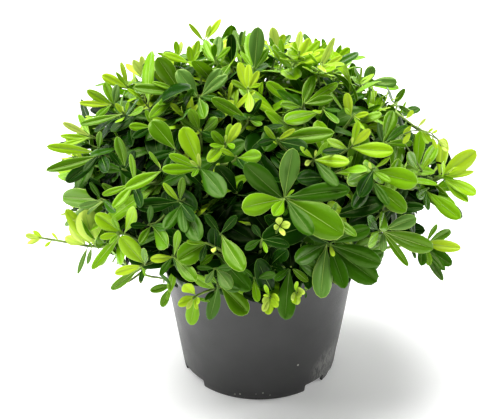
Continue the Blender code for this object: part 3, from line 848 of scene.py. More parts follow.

# A spray is its name, the pixel of its middle and its depth below the crown's outline, then its leaves:
# a leaf is its tone, the pixel of its tip and its width against a common leaf's.
# A leaf's tone holds its own green and also painted shade and painted light.
SEEN_SPRAYS = (
    ("top_left_sprig", 204, 39, 0.000, "lime 189 23 .5, lime 222 20 .8, young 211 25 .6"),
    ("top_back_pair", 175, 56, 0.006, "bright 176 41 .8, young 183 42 .8, bright 157 54 .5, "
     "middle 191 58 .9"),
    ("top_left_dark", 179, 89, 0.008, "middle 158 57 1.2, middle 134 88 .7, fresh 153 81 .5, "
     "middle 159 108 .7, fresh 148 120 .6"),
    ("top_left_grey", 198, 95, 0.007, "grey 178 70 1.2, grey 222 70 1, grey 227 75 .9, "
     "middle 204 120 1.3, sombre 219 100 .8"),
    ("crown_fan", 231, 62, 0.008, "fresh 207 49 1, dark 231 34 .9, middle 236 45 .9, middle 220 78 .7"),
    ("crown_upright", 254, 67, 0.006, "fresh 251 39 1, grey 258 27 1, middle 268 50 .8, fresh 240 52 .6, "
     "sombre 262 42 .6"),
    ("crown_pale", 248, 87, 0.002, "lime 239 63 .9, lime 249 65 .9, lime 259 71 .9, bright 230 81 .8, "
     "bright 252 113 .7, bright 262 84 .7"),
    ("long_arch", 249, 117, 0.006, "middle 212 98 .8, middle 262 126 .8, sombre 232 118 .9, "
     "dark 262 100 .8"),
    ("top_bright", 300, 51, -0.006, "bright 268 47 .9, lime 310 39 .9, young 299 33 .5, lime 329 51 .9, "
     "lime 292 41 .7, bright 322 42 .8, lime 284 61 .8, lime 322 57 .6, bright 276 58 .7, "
     "lime 302 62 .6, bright 265 70 .8, lime 314 53 .8, bright 274 64 .9, bright 291 73 .8, "
     "lime 286 44 .7"),
    ("top_bright_right", 322, 62, -0.007, "young 334 37 .4, bright 327 84 1, bright 304 71 .8, "
     "sombre 362 56 .6, lime 343 57 .6, bright 339 72 .7, bright 311 81 .7, lime 309 55 .8, "
     "bright 334 50 .7, bright 345 66 .8, lime 318 79 .7"),
    ("right_shoulder_dark", 368, 81, 0.006, "grey 373 66 1.35, grey 352 69 .9, fresh 343 75 .5, "
     "fresh 399 89 1.2, grey 397 82 1.2, fresh 361 100 .6"),
    ("right_shoulder_edge", 397, 102, 0.006, "middle 404 88 .9, bright 410 114 .8, sombre 384 90 .9, "
     "middle 391 118 .8"),
    ("shoulder_lime", 355, 114, 0.002, "lime 345 93 1, lime 369 113 .9, bright 342 108 .6, "
     "bright 363 130 .9, young 357 122 .8"),
    ("crown_small", 304, 102, 0.008, "fresh 266 83 .7, fresh 279 104 .9, middle 311 77 1, "
     "fresh 337 84 .6, middle 334 99 .9, bright 303 95 .5"),
    ("glossy_pair", 324, 107, 0.005, "fresh 282 123 .9, bright 313 115 1.1, middle 337 124 .9, "
     "sombre 340 112 .8"),
    ("yellow_pair", 278, 138, 0.004, "lime 272 144 .9, bright 263 126 .8, dark 310 148 1.1, "
     "lime 295 128 .7, middle 334 132 .8, dark 256 145 1"),
    ("left_edge_upper", 126, 85, 0.004, "lime 102 75 1, lime 121 62 .6, bright 116 72 .6, "
     "bright 140 76 .7"),
    ("left_grey_fan", 111, 103, 0.006, "bright 87 90 .8, fresh 106 82 1.2, grey 118 84 1.1, "
     "lime 79 104 .6, middle 96 118 .8"),
    ("left_tuft", 122, 112, 0.002, "lime 115 103 .8, fresh 148 109 .6, bright 115 126 .8, "
     "bright 129 101 .6, middle 82 126 .5, young 124 105 .5"),
    ("left_edge", 89, 135, 0.004, "bright 60 137 .6, young 63 122 .5, fresh 68 142 .9, bright 60 149 .5, "
     "fresh 80 116 .8"),
    ("left_dark_fan", 97, 151, 0.006, "middle 47 173 .5, dark 68 183 .8, bright 47 145 .5, "
     "dark 84 172 .9, dark 109 174 1, middle 101 130 .9"),
    ("leaf_pair_left", 152, 125, 0.006, "fresh 129 127 1, fresh 146 110 .9, dark 133 140 .9"),
    ("round_leaves", 175, 149, 0.004, "middle 152 121 1.4, dark 150 160 1, dark 165 176 1"),
    ("glossy_left", 199, 130, 0.006, "middle 219 119 1.3, fresh 190 108 1.1, middle 180 120 .8, "
     "dark 215 138 .8"),
    ("lime_tuft_left", 225, 142, 0.000, "fresh 210 131 1, bright 232 124 1, lime 241 123 1, "
     "fresh 209 148 .9, bright 206 162 1.1, fresh 236 147 1, young 226 134 .7"),
    ("dark_left_middle", 122, 169, 0.007, "middle 120 136 .9, sombre 99 166 1, dark 138 150 .9, "
     "dark 110 152 .8"),
    ("upright_narrow", 131, 183, 0.003, "fresh 133 153 .6, fresh 114 209 .9, fresh 103 196 .6, "
     "dark 146 208 .9"),
    ("diagonal_leaves", 160, 169, 0.001, "fresh 126 190 .9, fresh 150 150 .5, young 160 161 .4"),
    ("left_middle_tuft", 198, 166, 0.001, "bright 185 127 1.2, fresh 161 170 .8, young 198 152 .6, "
     "fresh 169 154 .8, sombre 228 197 1.3, middle 192 178 1, young 190 160 .7"),
    ("bright_blunt", 236, 156, 0.001, "fresh 263 155 1.35, bright 220 148 .8, dark 246 172 1"),
    ("left_low_fan", 100, 199, 0.006, "middle 65 195 1.1, grey 66 222 .5, grey 80 208 .8, "
     "sombre 116 214 .8, sombre 90 182 .8"),
    ("cupped_leaves", 178, 201, 0.005, "sombre 164 231 1, sombre 184 234 .9, sombre 204 241 1.1, "
     "bright 162 183 .7, middle 183 177 .8, dark 137 208 1, dark 197 222 .9"),
    ("lime_left_low", 118, 233, 0.004, "bright 138 205 .9, bright 96 214 1.4, bright 100 238 .9, "
     "fresh 94 267 .6, fresh 113 217 1, fresh 109 244 .8"),
    ("left_low_rosette", 148, 225, 0.006, "middle 172 248 1.5, middle 138 243 1, sombre 169 228 .9, "
     "dark 130 226 .9, sombre 152 205 .8"),
    ("left_hem_bright", 140, 266, 0.004, "bright 120 236 1.3, middle 146 248 1, lime 115 272 .9, "
     "dark 142 282 1, middle 113 290 .6, middle 147 276 .6"),
    ("lime_single", 172, 257, 0.002, "lime 150 260 1, fresh 180 229 .7, middle 197 281 1.1, "
     "sombre 160 275 .9"),
    ("centre_rosette", 286, 197, 0.004, "sombre 242 164 1.1, grey 291 148 1.1, fresh 239 206 1.3, "
     "fresh 272 218 1.3, middle 344 233 1.35, sombre 312 237 1, sombre 349 187 .8, bright 294 189 .6"),
    ("centre_right_tuft", 315, 157, 0.001, "young 302 164 .8, bright 350 161 1, sombre 339 186 .9, "
     "bright 300 146 .7, fresh 328 143 .7, young 316 149 .6"),
    ("right_tuft", 353, 145, 0.001, "bright 326 141 .8, dark 320 153 .6, bright 393 153 1.1, "
     "lime 370 130 1, bright 358 122 .9, young 352 136 .6"),
    ("right_dark_upright", 386, 142, 0.005, "middle 391 112 1.1, sombre 376 122 .8, middle 412 142 .8, "
     "sombre 404 126 .8"),
    ("right_middle", 375, 168, 0.003, "middle 344 182 1.2, fresh 416 184 1.3, fresh 391 182 .8, "
     "young 366 161 .7, bright 390 158 .6, dark 357 199 1"),
    ("right_middle_low", 372, 179, 0.004, "middle 405 212 1.1, dark 352 210 1, sombre 388 206 .9"),
    ("right_upright", 422, 171, 0.002, "fresh 418 131 .8, fresh 436 146 .9, middle 405 150 .8, "
     "bright 430 158 .8"),
    ("far_right", 447, 176, 0.000, "lime 476 151 1.1, lime 444 138 1, lime 474 172 .5, "
     "bright 475 196 1.25, bright 466 204 1.2, bright 436 160 .9, young 452 166 .7"),
    ("far_right_low", 429, 188, 0.004, "fresh 459 220 1, fresh 441 207 .8, sombre 425 212 .9, "
     "sombre 414 200 .8"),
    ("right_low", 386, 230, 0.004, "sombre 362 215 1, fresh 367 245 1.2, middle 428 250 .95, "
     "middle 407 265 .5, grey 384 253 .9, grey 415 217 1.2, bright 392 229 .5"),
    ("far_low_right", 429, 243, 0.003, "lime 461 247 .8, sombre 451 266 1.1, grey 440 282 .6, "
     "sombre 444 272 .8, sombre 418 268 .9, fresh 428 267 .9, middle 436 222 .9, middle 449 229 1"),
    ("low_rosette", 331, 244, 0.010, "sombre 291 261 1.1, grey 317 298 1.1, sombre 375 281 1.2, "
     "sombre 381 261 1, sombre 369 226 1, sombre 345 288 1, lime 334 258 .8, dark 308 232 .9"),
    ("pale_tuft", 280, 226, -0.002, "young 279 216 1.3, young 292 224 1.3, young 284 236 1.2, "
     "young 272 228 1.2"),
    ("pale_tuft_stem", 262, 239, 0.004, "fresh 268 253 .7, sombre 244 250 1, dark 290 246 1, "
     "dark 252 224 1"),
    ("low_left_pair", 220, 234, 0.004, "middle 242 273 1.2, dark 206 214 .9, dark 238 216 .9"),
    ("low_left_leaf", 206, 243, 0.004, "middle 177 259 1.9, fresh 186 241 .7, dark 200 262 .9"),
    ("brown_bud", 214, 247, -0.002, "young 213 253 1.4, young 217 251 1.2"),
    ("back_left_pale", 142, 74, 0.002, "young 133 60 .9, young 141 56 .7, lime 128 66 .7, "
     "bright 152 58 .8, grey 146 63 .8"),
    ("back_left_hazy", 190, 62, 0.004, "bright 188 46 .9, bright 198 40 .8, lime 196 47 .8, "
     "bright 201 52 .8, bright 163 53 .9"),
    ("back_middle_left", 214, 57, 0.002, "fresh 205 43 .9, grey 221 38 1.1, fresh 231 47 .8, "
     "fresh 214 44 1, lime 227 39 .8"),
    ("back_middle", 241, 49, 0.002, "grey 235 32 .9, grey 242 31 .8, fresh 246 29 .6"),
    ("back_right_pale", 277, 48, 0.002, "young 273 27 .9, lime 284 34 1.1, grey 290 37 .9, "
     "fresh 268 38 .9, lime 297 44 .8"),
    ("back_right", 318, 50, 0.002, "grey 303 34 1, bright 316 38 .9, bright 327 43 .8"),
    ("back_right_fan", 336, 58, 0.002, "bright 350 48 1.1, fresh 341 45 .8, grey 356 57 .8, "
     "fresh 366 60 .8, bright 347 62 .7"),
    ("rim_left", 170, 286, 0.014, "middle 150 291 1, middle 161 306 1, fresh 167 300 .6, "
     "sombre 161 271 .8"),
    ("rim_tuft_left", 193, 298, 0.010, "fresh 190 323 1.3, lime 182 281 1.3, lime 177 304 1.3, "
     "lime 202 304 1.2, lime 197 310 .9, young 186 309 .9, middle 210 301 .6"),
    ("rim_grey", 214, 269, 0.012, "grey 233 288 1.4, grey 206 284 1, sombre 234 266 .9, sombre 196 266 .8"),
    ("rim_leaves", 217, 285, 0.020, "middle 249 312 1.3, sombre 212 319 .9, middle 205 272 .9, "
     "sombre 240 290 1"),
    ("rim_leaf_middle", 254, 279, 0.020, "fresh 257 302 1, sombre 243 268 .9, sombre 276 274 1"),
    ("rim_tuft_middle", 270, 298, 0.014, "lime 281 298 1.5, lime 267 315 1.5, young 262 303 1.2, "
     "lime 278 308 1.3, young 263 312 1, bright 264 284 .6, lime 263 293 .7"),
    ("rim_long_leaf", 291, 267, 0.018, "sombre 283 318 1, middle 308 282 .9, sombre 274 282 .9"),
    ("rim_tuft_right", 297, 294, 0.012, "young 305 289 1.3, young 297 306 1.3, young 289 299 1.2, "
     "lime 293 304 1, young 303 297 1.2, bright 294 279 .6"),
)


def in_pot(point, gap):
    """Whether a point lies in the pot or in the space over its mix, or closer to the rim than the gap."""
    return point.z < POT_HEIGHT + gap and math.hypot(point.x, point.y) < RIM_RADIUS + gap


def meets_pot(line):
    pairs = zip(line, line[1:])
    steps = range(RIM_TESTS + 1)
    return any(in_pot(a.lerp(b, step / RIM_TESTS), RIM_GAP) for a, b in pairs for step in steps)


def led_round_rim(line):
    """The line with twice as many stations, each pushed up or outwards until it is clear of the rim."""
    finer = [line[0]]
    for a, b in zip(line, line[1:]):
        finer += [a.lerp(b, 0.5), b]
    gap = RIM_GAP * LED_CLEAR
    clear = []
    for point in finer:
        if in_pot(point, gap):
            level = math.hypot(point.x, point.y)
            out = RIM_RADIUS + gap - level
            up = POT_HEIGHT + gap - point.z
            if up < out:
                point = Vector((point.x, point.y, point.z + up))
            else:
                point = Vector((point.x * (1 + out / level), point.y * (1 + out / level), point.z))
        clear.append(point)
    return clear


def leaf_rows(words):
    """Each leaf's tone, then its pixels and its width against a common leaf's."""
    return [(tone, *map(float, row)) for tone, *row in map(str.split, words.split(","))]


class Arch:
    """A stem that the photograph shows leaning out of a spray, with its own leaves."""

    def __init__(self, spray, thickness, place, path, leaves):
        self.spray = spray
        self.thickness = thickness
        self.line = [place(*map(float, point.split())) for point in path.split(",")]
        self.leaves = leaf_rows(leaves)


class Spray:
    """A spray that the photograph shows: the pixels of its middle and of its leaves' tips."""

    def __init__(self, name, x, y, depth, leaves):
        self.name = name
        self.middle = (x, y)
        self.depth = depth
        self.leaves = leaf_rows(leaves)


def sight_through(x, y):
    """The line of sight from the camera through a pixel of the photograph."""
    dip = math.radians(CAMERA_DIP)
    ahead = Vector((0.0, math.cos(dip), -math.sin(dip)))
    above = Vector((0.0, math.sin(dip), math.cos(dip)))
    across = (x - PICTURE_WIDTH / 2 + MIDDLE_SHIFT) / FOCAL_PIXELS
    return ahead + Vector((across, 0.0, 0.0)) - above * ((y - PICTURE_HEIGHT / 2) / FOCAL_PIXELS)


def seen_point(x, y, depth, near=None):
    """Where the line of sight through a pixel first comes within a depth of the crown's outline.

    Where it passes beside the crown, the point is where it comes closest to the outline, or to near.
    """
    sight = sight_through(x, y)
    closest = None
    for step in range(SIGHT_STEPS):
        point = CAMERA_PLACE + sight * (SIGHT_NEAR + step * SIGHT_STEP)
        offset = point - HEART
        gap = offset.length - reach(offset.normalized()) + depth
        if gap <= 0:
            return point
        if closest is None or gap < closest[0]:
            closest = (gap, point)
    if near is None:
        return closest[1]
    return CAMERA_PLACE + sight * ((near - CAMERA_PLACE).dot(sight) / sight.dot(sight))


def pixel_of(point):
    """The pixel of the photograph at which a point is seen."""
    dip = math.radians(CAMERA_DIP)
    offset = point - CAMERA_PLACE
    ahead = offset.y * math.cos(dip) - offset.z * math.sin(dip)
    above = offset.y * math.sin(dip) + offset.z * math.cos(dip)
    x = PICTURE_WIDTH / 2 - MIDDLE_SHIFT + FOCAL_PIXELS * offset.x / ahead
    return x, PICTURE_HEIGHT / 2 - FOCAL_PIXELS * above / ahead


# Round places of the photograph: the pixel of the middle and the radius in pixels.
OPEN_SKY = (
    (357, 296, 12), (372, 290, 9), (388, 283, 11), (392, 268, 9), (397, 294, 12), (395, 252, 5),
    (399, 262, 6), (411, 286, 12), (425, 290, 12), (428, 169, 4), (409, 198, 3), (434, 212, 5),
    (374, 227, 4), (402, 229, 4), (419, 227, 4), (128, 280, 8), (155, 277, 9), (149, 287, 6),
    (88, 258, 9), (104, 262, 8), (77, 251, 8), (64, 246, 6), (74, 232, 6), (76, 262, 8), (84, 272, 8),
    (100, 283, 8), (68, 117, 10), (51, 127, 9), (52, 160, 5), (452, 222, 5), (465, 232, 8), (436, 128, 6),
    (380, 303, 10), (358, 309, 7), (189, 303, 15), (214, 308, 7), (256, 316, 8), (283, 314, 7),
    (338, 308, 8), (232, 318, 6), (63, 185, 5), (55, 190, 6), (62, 205, 5), (60, 222, 6), (144, 47, 5),
    (306, 306, 6), (318, 304, 6), (327, 309, 6), (334, 293, 6), (414, 268, 5), (428, 217, 7), (470, 219, 5),
    (445, 224, 5),
)
# No shoot stands in a hollow, and generic leaves seen there get near-black tones: painted shade.
HOLLOWS = (
    (173, 89, 9), (268, 152, 12), (279, 168, 9), (258, 165, 8), (302, 177, 12), (245, 141, 10),
    (237, 172, 9), (243, 184, 9), (233, 197, 9), (206, 207, 9), (193, 202, 9), (206, 193, 8),
    (196, 183, 8), (257, 135, 8), (414, 201, 8), (263, 229, 9), (151, 146, 8), (217, 207, 10),
    (252, 218, 10), (247, 188, 9), (325, 179, 8), (404, 212, 9), (274, 206, 7), (344, 187, 7),
    (316, 142, 8), (309, 156, 8), (155, 138, 8), (292, 232, 9), (265, 173, 9), (372, 208, 10),
    (355, 204, 8), (128, 121, 9), (419, 216, 8), (237, 194, 9),
)


def seen_in(places, point):
    """Whether a point is seen inside one of the places of the photograph."""
    x, y = pixel_of(point)
    return any(math.hypot(x - a, y - b) < size for a, b, size in places)


def hides_sky(spots):
    """Whether any of the spots is seen where the photograph shows sky inside or beside the crown."""
    return any(seen_in(OPEN_SKY, spot) for spot in spots)


sprays = [Spray(*row) for row in SEEN_SPRAYS]
towards_camera = (CAMERA_PLACE - HEART).normalized()


def room_for(tip):
    """Whether a shoot would stand neither in a spray nor in a hollow of the photograph."""
    aim = (tip - HEART).normalized()
    if aim.dot(towards_camera) < (SKYLINE if aim.z > SKYLINE_AIM else 0.0):
        return True
    if seen_in(HOLLOWS, tip):
        return False
    x, y = pixel_of(tip)
    return all(math.hypot(x - spray.middle[0], y - spray.middle[1]) > SPRAY_ROOM for spray in sprays)


def from_heart(aim, depth):
    """The point that way from the heart, at a depth below the crown's outline."""
    return HEART + aim * (reach(aim) - depth)


def spiral(count, first_turn):
    """Polar angles and azimuths all over the crown, each the golden angle on from the one before."""
    lowest = math.cos(math.radians(LOWEST_SHOOT))
    for number in range(count):
        height = 1 - (1 - lowest) * (number + 0.5) / count
        yield number, math.acos(height), first_turn + number * GOLDEN_ANGLE


dice = random.Random(SEED)
main_shoots = []
for number, polar, azimuth in spiral(SHOOT_COUNT, 0.0):
    aim = direction(polar, azimuth + dice.uniform(-AZIMUTH_SPREAD, AZIMUTH_SPREAD))
    depth = SHOOT_DEPTH + dice.uniform(*SHOOT_DEPTH_SPREAD)
    tip = from_heart(aim, depth)
    kind = "main"
    if not room_for(tip):
        kind = "under"
        depth += UNDER_SPRAYS * max(UNDER_LEAST, aim.dot(towards_camera))
        tip = from_heart(aim, depth)
    if not hides_sky([tip]):
        main_shoots.append(Shoot(tip, shoot_axis(aim), depth, kind, SEED + number))
for number, tip in enumerate(LONG_SHOOTS):
    aim = (tip - HEART).normalized()
    main_shoots.append(Shoot(tip, aim, 0.0, "long", SEED + SHOOT_COUNT + number))
for number, spray in enumerate(sprays):
    tip = seen_point(*spray.middle, spray.depth + SPRAY_SINK)
    axis = shoot_axis((tip - HEART).normalized())
    main_shoots.append(Shoot(tip, axis, -1.0, "seen", SEEN_SEED + number, spray))
for number, polar, azimuth in spiral(INNER_COUNT, 1.0):
    aim = direction(polar, azimuth)
    depth = dice.uniform(*INNER_DEPTH)
    main_shoots.append(Shoot(from_heart(aim, depth), shoot_axis(aim), depth, "inner", INNER_SEED + number))


def stem_point(x, y, back):
    """The point seen at a pixel, at a distance in front of the plant's middle."""
    sight = sight_through(x, y)
    return CAMERA_PLACE + sight * ((back - CAMERA_PLACE.y) / sight.y)


# A station of a stem's path is a pixel and either its place along Y or its depth below the outline. A
# leaf is its tone, the pixels of its foot and of its tip, and its width.
arches = (
    Arch(
        "lime_left_low", 0.0017, stem_point,
        "118 241 -.090, 103 247 -.080, 88 246 -.070, 66 242 -.060, 48 239 -.054, 36 237 -.050",
        "young 86 244 65 237 1.1, young 86 242 74 218 1.1, young 96 246 82 210 1.3, lime 92 246 66 208 .6,"
        "young 104 247 94 223 .9, lime 98 247 104 223 .8, grey 88 246 77 273 .35, grey 91 247 88 264 .5,"
        "young 40 238 25 235 .9, young 42 239 27 243 .8, lime 44 239 33 231 .8, lime 52 240 45 247 .7,"
        "lime 60 241 52 233 .6, fresh 110 244 101 266 .6",
    ),
    Arch(
        "right_shoulder_edge", 0.0009, seen_point,
        "396 112 .004, 405 119 -.006, 417 128 -.010, 427 133 -.012, 437 139 -.012, 441 146 -.008",
        "young 437 139 446 143 .9, young 441 146 447 152 .9, lime 427 133 433 128 .8,"
        "lime 405 119 414 111 .8, lime 412 124 404 135 .8, bright 420 130 428 143 .7,"
        "lime 432 136 436 149 .7, young 417 128 426 118 .5",
    ),
    Arch(
        "right_upright", 0.0008, seen_point,
        "400 136 .004, 411 131 -.006, 422 130 -.010, 431 133 -.012, 440 141 -.010",
        "young 440 141 447 147 .9, lime 431 133 438 131 .8, lime 411 131 404 144 .8,"
        "bright 422 130 431 142 .8",
    ),
)


def forked(shoot, turn):
    """A finer shoot from the side of a main one, unless it would hide sky or meet the pot."""
    sideways = Matrix.Rotation(turn, 3, shoot.axis) @ shoot.axis.orthogonal().normalized()
    target = shoot.tip + sideways * shoot.dice.uniform(*FORK_REACH)
    aim = (target - HEART).normalized()
    depth = SHOOT_DEPTH + shoot.dice.uniform(*FORK_DEPTH)
    tip = from_heart(aim, depth)
    if shoot.kind == "long":
        tip = target - shoot.axis * shoot.dice.uniform(*FORK_DROP)
    axis = (shoot_axis(aim) + sideways * FORK_LEAN).normalized()
    kind = "fork"
    if not room_for(tip):
        kind = "under"
        lower = UNDER_SPRAYS * UNDER_FORKS * max(UNDER_LEAST, aim.dot(towards_camera))
        tip -= aim * lower
        depth += lower
    if hides_sky([tip]):
        return None
    fine = Shoot(tip, axis, depth, kind, shoot.dice.randrange(SEED_RANGE))
    begin = round(shoot.dice.uniform(*FORK_START) * (SHOOT_STATIONS - 1))
    leave = (shoot.line[begin + 1] - shoot.line[begin]).normalized()
    fine.line = smooth_line(shoot.line[begin], (leave + sideways).normalized(), tip, axis, FORK_STATIONS)
    return None if meets_pot(fine.line) else fine


woody_limbs = []
green_limbs = []
fine_shoots = []
for mass in masses:
    hub = HEART + mass.aim * (CORE_INNER + (reach(mass.aim) - CORE_DEPTH - CORE_INNER) * HUB_SHARE)
    woody_limbs.append(([mass.root - mass.aim * STEM_TUCK, hub], [STEM_RADIUS, HUB_RADIUS]))
    for shoot in main_shoots:
        aim = (shoot.tip - HEART).normalized()
        if max(masses, key=lambda other: aim.dot(other.aim)) is not mass:
            continue
        leave = (mass.aim + (shoot.tip - hub).normalized()).normalized()
        shoot.line = smooth_line(hub, leave, shoot.tip, shoot.axis, SHOOT_STATIONS)
        if meets_pot(shoot.line):
            if shoot.kind != "seen":
                continue
            shoot.line = led_round_rim(shoot.line)
        half_way = len(shoot.line) // 2
        woody_limbs.append((shoot.line[: half_way + 1], tapered(HUB_RADIUS, TWIG_TIP_RADIUS, half_way + 1)))
        green_limbs.append((shoot.line[half_way:], tapered(TWIG_TIP_RADIUS, GREEN_TIP_RADIUS, half_way + 1)))
        fine_shoots.append(shoot)
        for arch in arches:
            if shoot.spray and shoot.spray.name == arch.spray:
                stem = [shoot.tip, *arch.line]
                green_limbs.append((stem, tapered(arch.thickness, arch.thickness * ARCH_TAPER, len(stem))))
        if shoot.kind in ("inner", "seen"):
            continue
        first_turn = shoot.dice.uniform(0.0, math.tau)
        for fork in range(FORKS[len(fine_shoots) % 2]):
            turn = first_turn + math.pi * fork + shoot.dice.uniform(-FORK_SWAY, FORK_SWAY)
            fine = forked(shoot, turn)
            if fine:
                green_limbs.append((fine.line, tapered(GREEN_RADIUS, GREEN_TIP_RADIUS, FORK_STATIONS)))
                fine_shoots.append(fine)

green_bark, tree, shader, place = finish_material("green_bark", STEM_GREEN, GREEN_ROUGHNESS)
coloured_by(tree, shader, place, GREEN_SPECKLE, GREEN_TONES)
shader.inputs["Specular IOR Level"].default_value = GREEN_GLOSS
bump_on(tree, shader, noise_on(tree, place, *GREEN_GRAIN), GREEN_GRAIN_DEPTH)
woody_twigs = skinned("woody_twigs", woody_limbs, TWIG_SIDES, TWIG_RELIEF, bark)
green_twigs = skinned("green_twigs", green_limbs, GREEN_SIDES, 0.0, green_bark)
for piece in (woody_twigs, green_twigs):
    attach(piece, "root")


# Leaves
# Leathery, glossy and blunt, widest near the tip and wedged into a short pale stalk. They stand in
# rosettes round the shoot tips, the oldest largest, darkest and flattest, the youngest small and
# yellow-green.

LEAF_LENGTH = 0.052
LEAF_HALF_WIDTH = 0.166
FULL_LEAF = 0.050
STALK_SHARE = 0.06
OUTLINE_SKEW = 1.42
WEDGE_BASE = 0.76
BLUNT_TIP = 0.47
CAMBER = 0.12
EDGE_ROLL = 0.18
ROLL_POWER = 5.0
WAVES_ALONG = 7.0
WAVES_ACROSS = 1.4
WAVE_HEIGHT = 0.12
RIB_HALF_WIDTH = 0.00066
RIB_PROUD = 0.00030
RIB_DEPTH = 0.00060
RIB_THICKNESS = (1.30, 1.25)
RIB_RISE = 1.2
STALK_RISE = 2.0
RIM_WIDTH = 0.00034
RIM_DROP = 0.00030
RIM_TURN_START = 0.62
RIM_TURN_SHARE = 0.38
# Which tone a leaf gets follows its own green, old or young, and also painted shade and painted light. deep
# is near-black painted shade, and dark is mostly painted shade, for leaves inside the crown and in its
# hollows. grey is a green with a paler bluish cast that is partly a painted sheen.
LEAF_TONES = {
    "deep": (0.001, 0.008, 0.000, 1.0),
    "dark": (0.007, 0.042, 0.001, 1.0),
    "sombre": (0.030, 0.112, 0.002, 1.0),
    "middle": (0.090, 0.235, 0.003, 1.0),
    "fresh": (0.175, 0.400, 0.004, 1.0),
    "bright": (0.300, 0.555, 0.008, 1.0),
    "lime": (0.490, 0.725, 0.025, 1.0),
    "young": (0.660, 0.830, 0.130, 1.0),
    "grey": (0.105, 0.240, 0.035, 1.0),
}
LEAF_GLOSS = {"deep": 0.03, "dark": 0.10, "sombre": 0.22, "grey": 0.46}
SHADED_TONES = ("deep", "dark", "sombre")
INNER_GLOSS = 0.05
EDGE_GLOSS = 0.20
SUNNY_GLOSS = 0.38
LEAF_SHEEN = (0.84, 1.00, 0.38, 1.0)
LEAF_ROUGHNESS = 0.27
# Near-black ribs of the deep leaves inside the crown: painted shade.
SHADE_PAINTED_RIB = (0.020, 0.060, 0.008, 1.0)
# Shaded and sunny copies of the rim and rib colours: painted shade and painted light.
SHADED_RIM = (0.060, 0.160, 0.016, 1.0)
SHADED_RIB = (0.140, 0.260, 0.050, 1.0)
SUNNY_RIM = (0.370, 0.560, 0.090, 1.0)
SUNNY_RIB = (0.400, 0.580, 0.120, 1.0)
BLADE_STATIONS = (0.0, 0.13, 0.28, 0.44, 0.60, 0.75, 0.87, 0.955, 1.0)
BLADE_COLUMNS = (-1.0, -0.66, -0.33, 0.0, 0.33, 0.66, 1.0)
RIB_STATIONS = (0.0, 0.12, 0.34, 0.58, 0.80, 0.95)


def leaf_part(name, points, faces):
    """A part of the unit leaf. Each point is (share along, share across) and an offset in metres."""
    mesh = bpy.data.meshes.new(name)
    mesh.from_pydata([(along, across, 0.0) for along, across, _ in points], [], faces)
    share = mesh.attributes.new("share", "FLOAT_VECTOR", "POINT")
    edge = mesh.attributes.new("edge", "FLOAT_VECTOR", "POINT")
    for number, (along, across, offset) in enumerate(points):
        share.data[number].vector = (along, across, 0.0)
        edge.data[number].vector = offset
    return set_up(name, mesh)


def blade_part():
    flat = (0.0, 0.0, 0.0)
    points = [(BLADE_STATIONS[0], 0.0, flat)]
    for along in BLADE_STATIONS[1:-1]:
        points += [(along, across, flat) for across in BLADE_COLUMNS]
    points.append((1.0, 0.0, flat))
    wide = len(BLADE_COLUMNS)
    faces = [(0, 1 + n, 2 + n) for n in range(wide - 1)]
    for row in range(len(BLADE_STATIONS) - 3):
        for n in range(wide - 1):
            first = 1 + row * wide + n
            faces.append((first, first + wide, first + wide + 1, first + 1))
    last = 1 + (len(BLADE_STATIONS) - 3) * wide
    faces += [(last + n, len(points) - 1, last + n + 1) for n in range(wide - 1)]
    return leaf_part("blade_part", points, faces)


def rim_part():
    """The turned-down edge, a narrow band outside the blade's outline on both sides."""
    points = []
    for side in (-1.0, 1.0):
        for along in BLADE_STATIONS:
            lean = math.pi / 2 * max(0.0, (along - RIM_TURN_START) / RIM_TURN_SHARE)
            out = Vector((math.sin(lean), side * math.cos(lean), 0.0)) * RIM_WIDTH
            out.z = -RIM_DROP
            points += [(along, side, (0.0, 0.0, 0.0)), (along, side, tuple(out))]
    faces = []
    count = len(BLADE_STATIONS)
    for number in range(count - 1):
        n = 2 * number
        faces.append((n, n + 1, n + 3, n + 2))
        m = 2 * (count + number)
        faces.append((m, m + 2, m + 3, m + 1))
    return leaf_part("rim_part", points, faces)


def rib_part():
    """Stalk and midrib as one tapering limb, sunk into the blade from both sides."""
    points = []
    for along in RIB_STATIONS[:-1]:
        size = RIB_THICKNESS[0] - RIB_THICKNESS[1] * along
        points += [
            (along, 0.0, (0.0, RIB_HALF_WIDTH * size, 0.0)),
            (along, 0.0, (0.0, 0.0, RIB_PROUD * (RIB_RISE if along else STALK_RISE))),
            (along, 0.0, (0.0, -RIB_HALF_WIDTH * size, 0.0)),
            (along, 0.0, (0.0, 0.0, -RIB_DEPTH * size)),
        ]
    points.append((RIB_STATIONS[-1], 0.0, (0.0, 0.0, 0.0)))
    faces = [(3, 2, 1, 0)]
    for row in range(len(RIB_STATIONS) - 2):
        for n in range(4):
            m = (n + 1) % 4
            faces.append((4 * row + n, 4 * row + m, 4 * row + 4 + m, 4 * row + 4 + n))
    last = 4 * (len(RIB_STATIONS) - 2)
    faces += [(last + n, last + (n + 1) % 4, len(points) - 1) for n in range(4)]
    return leaf_part("rib_part", points, faces)


LEAF_VECTORS = ("root", "leaf_along", "leaf_side", "leaf_face")
LEAF_SIZES = ("length", "half_width", "fold", "droop", "twist", "phase", "bend", "shape")


